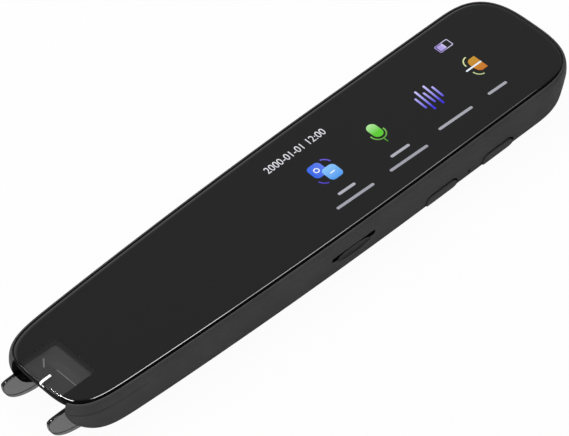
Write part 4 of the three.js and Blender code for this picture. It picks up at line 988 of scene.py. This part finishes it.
camera = bpy.data.objects.new("camera", bpy.data.cameras.new("camera"))
bpy.context.scene.collection.objects.link(camera)
camera.location = CAMERA
turn = (TARGET - CAMERA).to_track_quat("-Z", "Y") @ Quaternion((0, 0, 1), math.radians(ROLL))
camera.rotation_euler = turn.to_euler()
camera.data.sensor_width = SENSOR
camera.data.lens = FOCAL_PIXELS * SENSOR / PICTURE_WIDTH
camera.data.clip_start = 0.01
camera.data.clip_end = 20
bpy.context.scene.camera = camera


def pale_floor():
    """A pale painted sweep: white to the eye, and still darkened where the pen shades it."""
    material, tree, out = new_material("painted_pale_floor")
    coords = add(tree, "ShaderNodeTexCoord").outputs["Object"]
    paint = add(tree, "ShaderNodeTexNoise", {"Vector": coords}, Scale=60.0, Detail=2.0)
    bump = add(tree, "ShaderNodeBump", {"Height": paint.outputs["Fac"]}, Distance=0.00005, Strength=0.3)
    matt = add(tree, "ShaderNodeBsdfDiffuse", {"Normal": bump.outputs["Normal"]}, Color=(0.6, 0.6, 0.6, 1))
    white = add(tree, "ShaderNodeEmission", Color=(1, 1, 1, 1), Strength=1.0)
    ray = add(tree, "ShaderNodeLightPath")
    seen = add(tree, "ShaderNodeMath", {0: ray.outputs["Is Camera Ray"], 1: ray.outputs["Is Transmission Ray"]},
               operation="MAXIMUM")
    share = sum_of(tree, "MULTIPLY", seen.outputs[0], 0.96)
    mixed = add(tree, "ShaderNodeMixShader", {0: share, 1: matt.outputs[0], 2: white.outputs[0]})
    # From below it is left out, so that the underside of the pen can be looked at
    side = add(tree, "ShaderNodeNewGeometry")
    nothing = add(tree, "ShaderNodeBsdfTransparent", Color=(1, 1, 1, 1))
    whole = add(tree, "ShaderNodeMixShader",
                {0: side.outputs["Backfacing"], 1: mixed.outputs[0], 2: nothing.outputs[0]})
    tree.links.new(whole.outputs[0], out.inputs["Surface"])
    return material


ground = bmesh.new()
bmesh.ops.create_grid(ground, x_segments=1, y_segments=1, size=6.0)
floor = piece("floor", ground, [pale_floor()], body=None)
floor.location.z = -0.00002

scene = bpy.context.scene
scene.view_settings.view_transform = "Standard"
world = bpy.data.worlds.new("studio")
scene.world = world
world.use_nodes = True
studio = world.node_tree
backdrop = studio.nodes["Background"]
backdrop.inputs["Color"].default_value = (1, 1, 1, 1)
# The room is bright beyond the pen and overhead and dark on the near side, which keeps the near edges black
around = add(studio, "ShaderNodeTexCoord").outputs["Generated"]
sky_side = add(studio, "ShaderNodeVectorMath", {0: around}, operation="DOT_PRODUCT")
sky_side.inputs[1].default_value = (1, 1, 0)
level = add(studio, "ShaderNodeMapRange", {"Value": sky_side.outputs["Value"]}, interpolation_type="SMOOTHSTEP",
            From_Min=0.2, From_Max=0.7, To_Min=0.05, To_Max=0.42)
# Low down beyond the pen it is brighter still, which the far edge of the glass shows as a thin pale band
direction = add(studio, "ShaderNodeSeparateXYZ", {0: around})
beyond = add(studio, "ShaderNodeMapRange", {"Value": direction.outputs["Y"]}, interpolation_type="SMOOTHSTEP",
             From_Min=0.6, From_Max=0.8, To_Min=0.0, To_Max=0.6)
total = add(studio, "ShaderNodeMath", {0: level.outputs["Result"], 1: beyond.outputs["Result"]}, operation="ADD")
# The eye itself sees it white
eye = add(studio, "ShaderNodeLightPath")
strength = add(studio, "ShaderNodeMath", {0: total.outputs[0], 1: eye.outputs["Is Camera Ray"]}, operation="MAXIMUM")
studio.links.new(strength.outputs[0], backdrop.inputs["Strength"])


def lamp_of(name, width, height, power):
    """A rectangular lamp, in metres and watts, not yet placed."""
    data = bpy.data.lights.new(name, "AREA")
    data.shape = "RECTANGLE"
    data.size, data.size_y = width, height
    data.energy = power
    lamp = bpy.data.objects.new(name, data)
    scene.collection.objects.link(lamp)
    return lamp


def softbox(name, direction, distance, width, height, power):
    """A soft light that faces the pen from one direction."""
    lamp = lamp_of(name, width, height, power)
    away = Vector(direction).normalized()
    lamp.location = away * distance
    lamp.rotation_euler = away.to_track_quat("Z", "Y").to_euler()
    return lamp


key_light = softbox("far_left_softbox", (-0.65, 0.47, 0.62), 1.5, 1.6, 1.6, 16)
key_light.visible_glossy = False
near_fill = softbox("near_fill", (-0.45, -0.80, 0.42), 1.3, 1.0, 0.8, 7.5)
near_fill.visible_glossy = False
lip_glint = softbox("lip_glint", (-0.62, 0.50, 0.60), 1.5, 0.5, 0.5, 2.4)
lip_glint.visible_diffuse = False


def strip(name, x, y, length, width, radiance):
    """A narrow light that hangs over the pen and faces straight down."""
    lamp = lamp_of(name, length, width, radiance * math.pi * length * width)
    lamp.location = (x, y, STRIP_HEIGHT)


# Their images are the thin bright lines along the near edge of the glass and round its nose
strip("side_strip_nose", 0.190, 0.01, 0.20, 0.08, 22)
strip("side_strip_middle", 0.330, 0.01, 0.08, 0.08, 13)
strip("side_strip_keys", 0.410, 0.01, 0.08, 0.08, 8)
strip("side_strip_tail", 0.475, 0.01, 0.05, 0.08, 4)
strip("nose_strip_near", -0.085, 0.203, 0.05, 0.134, 60)
strip("nose_strip_far", -0.085, 0.325, 0.05, 0.11, 40)
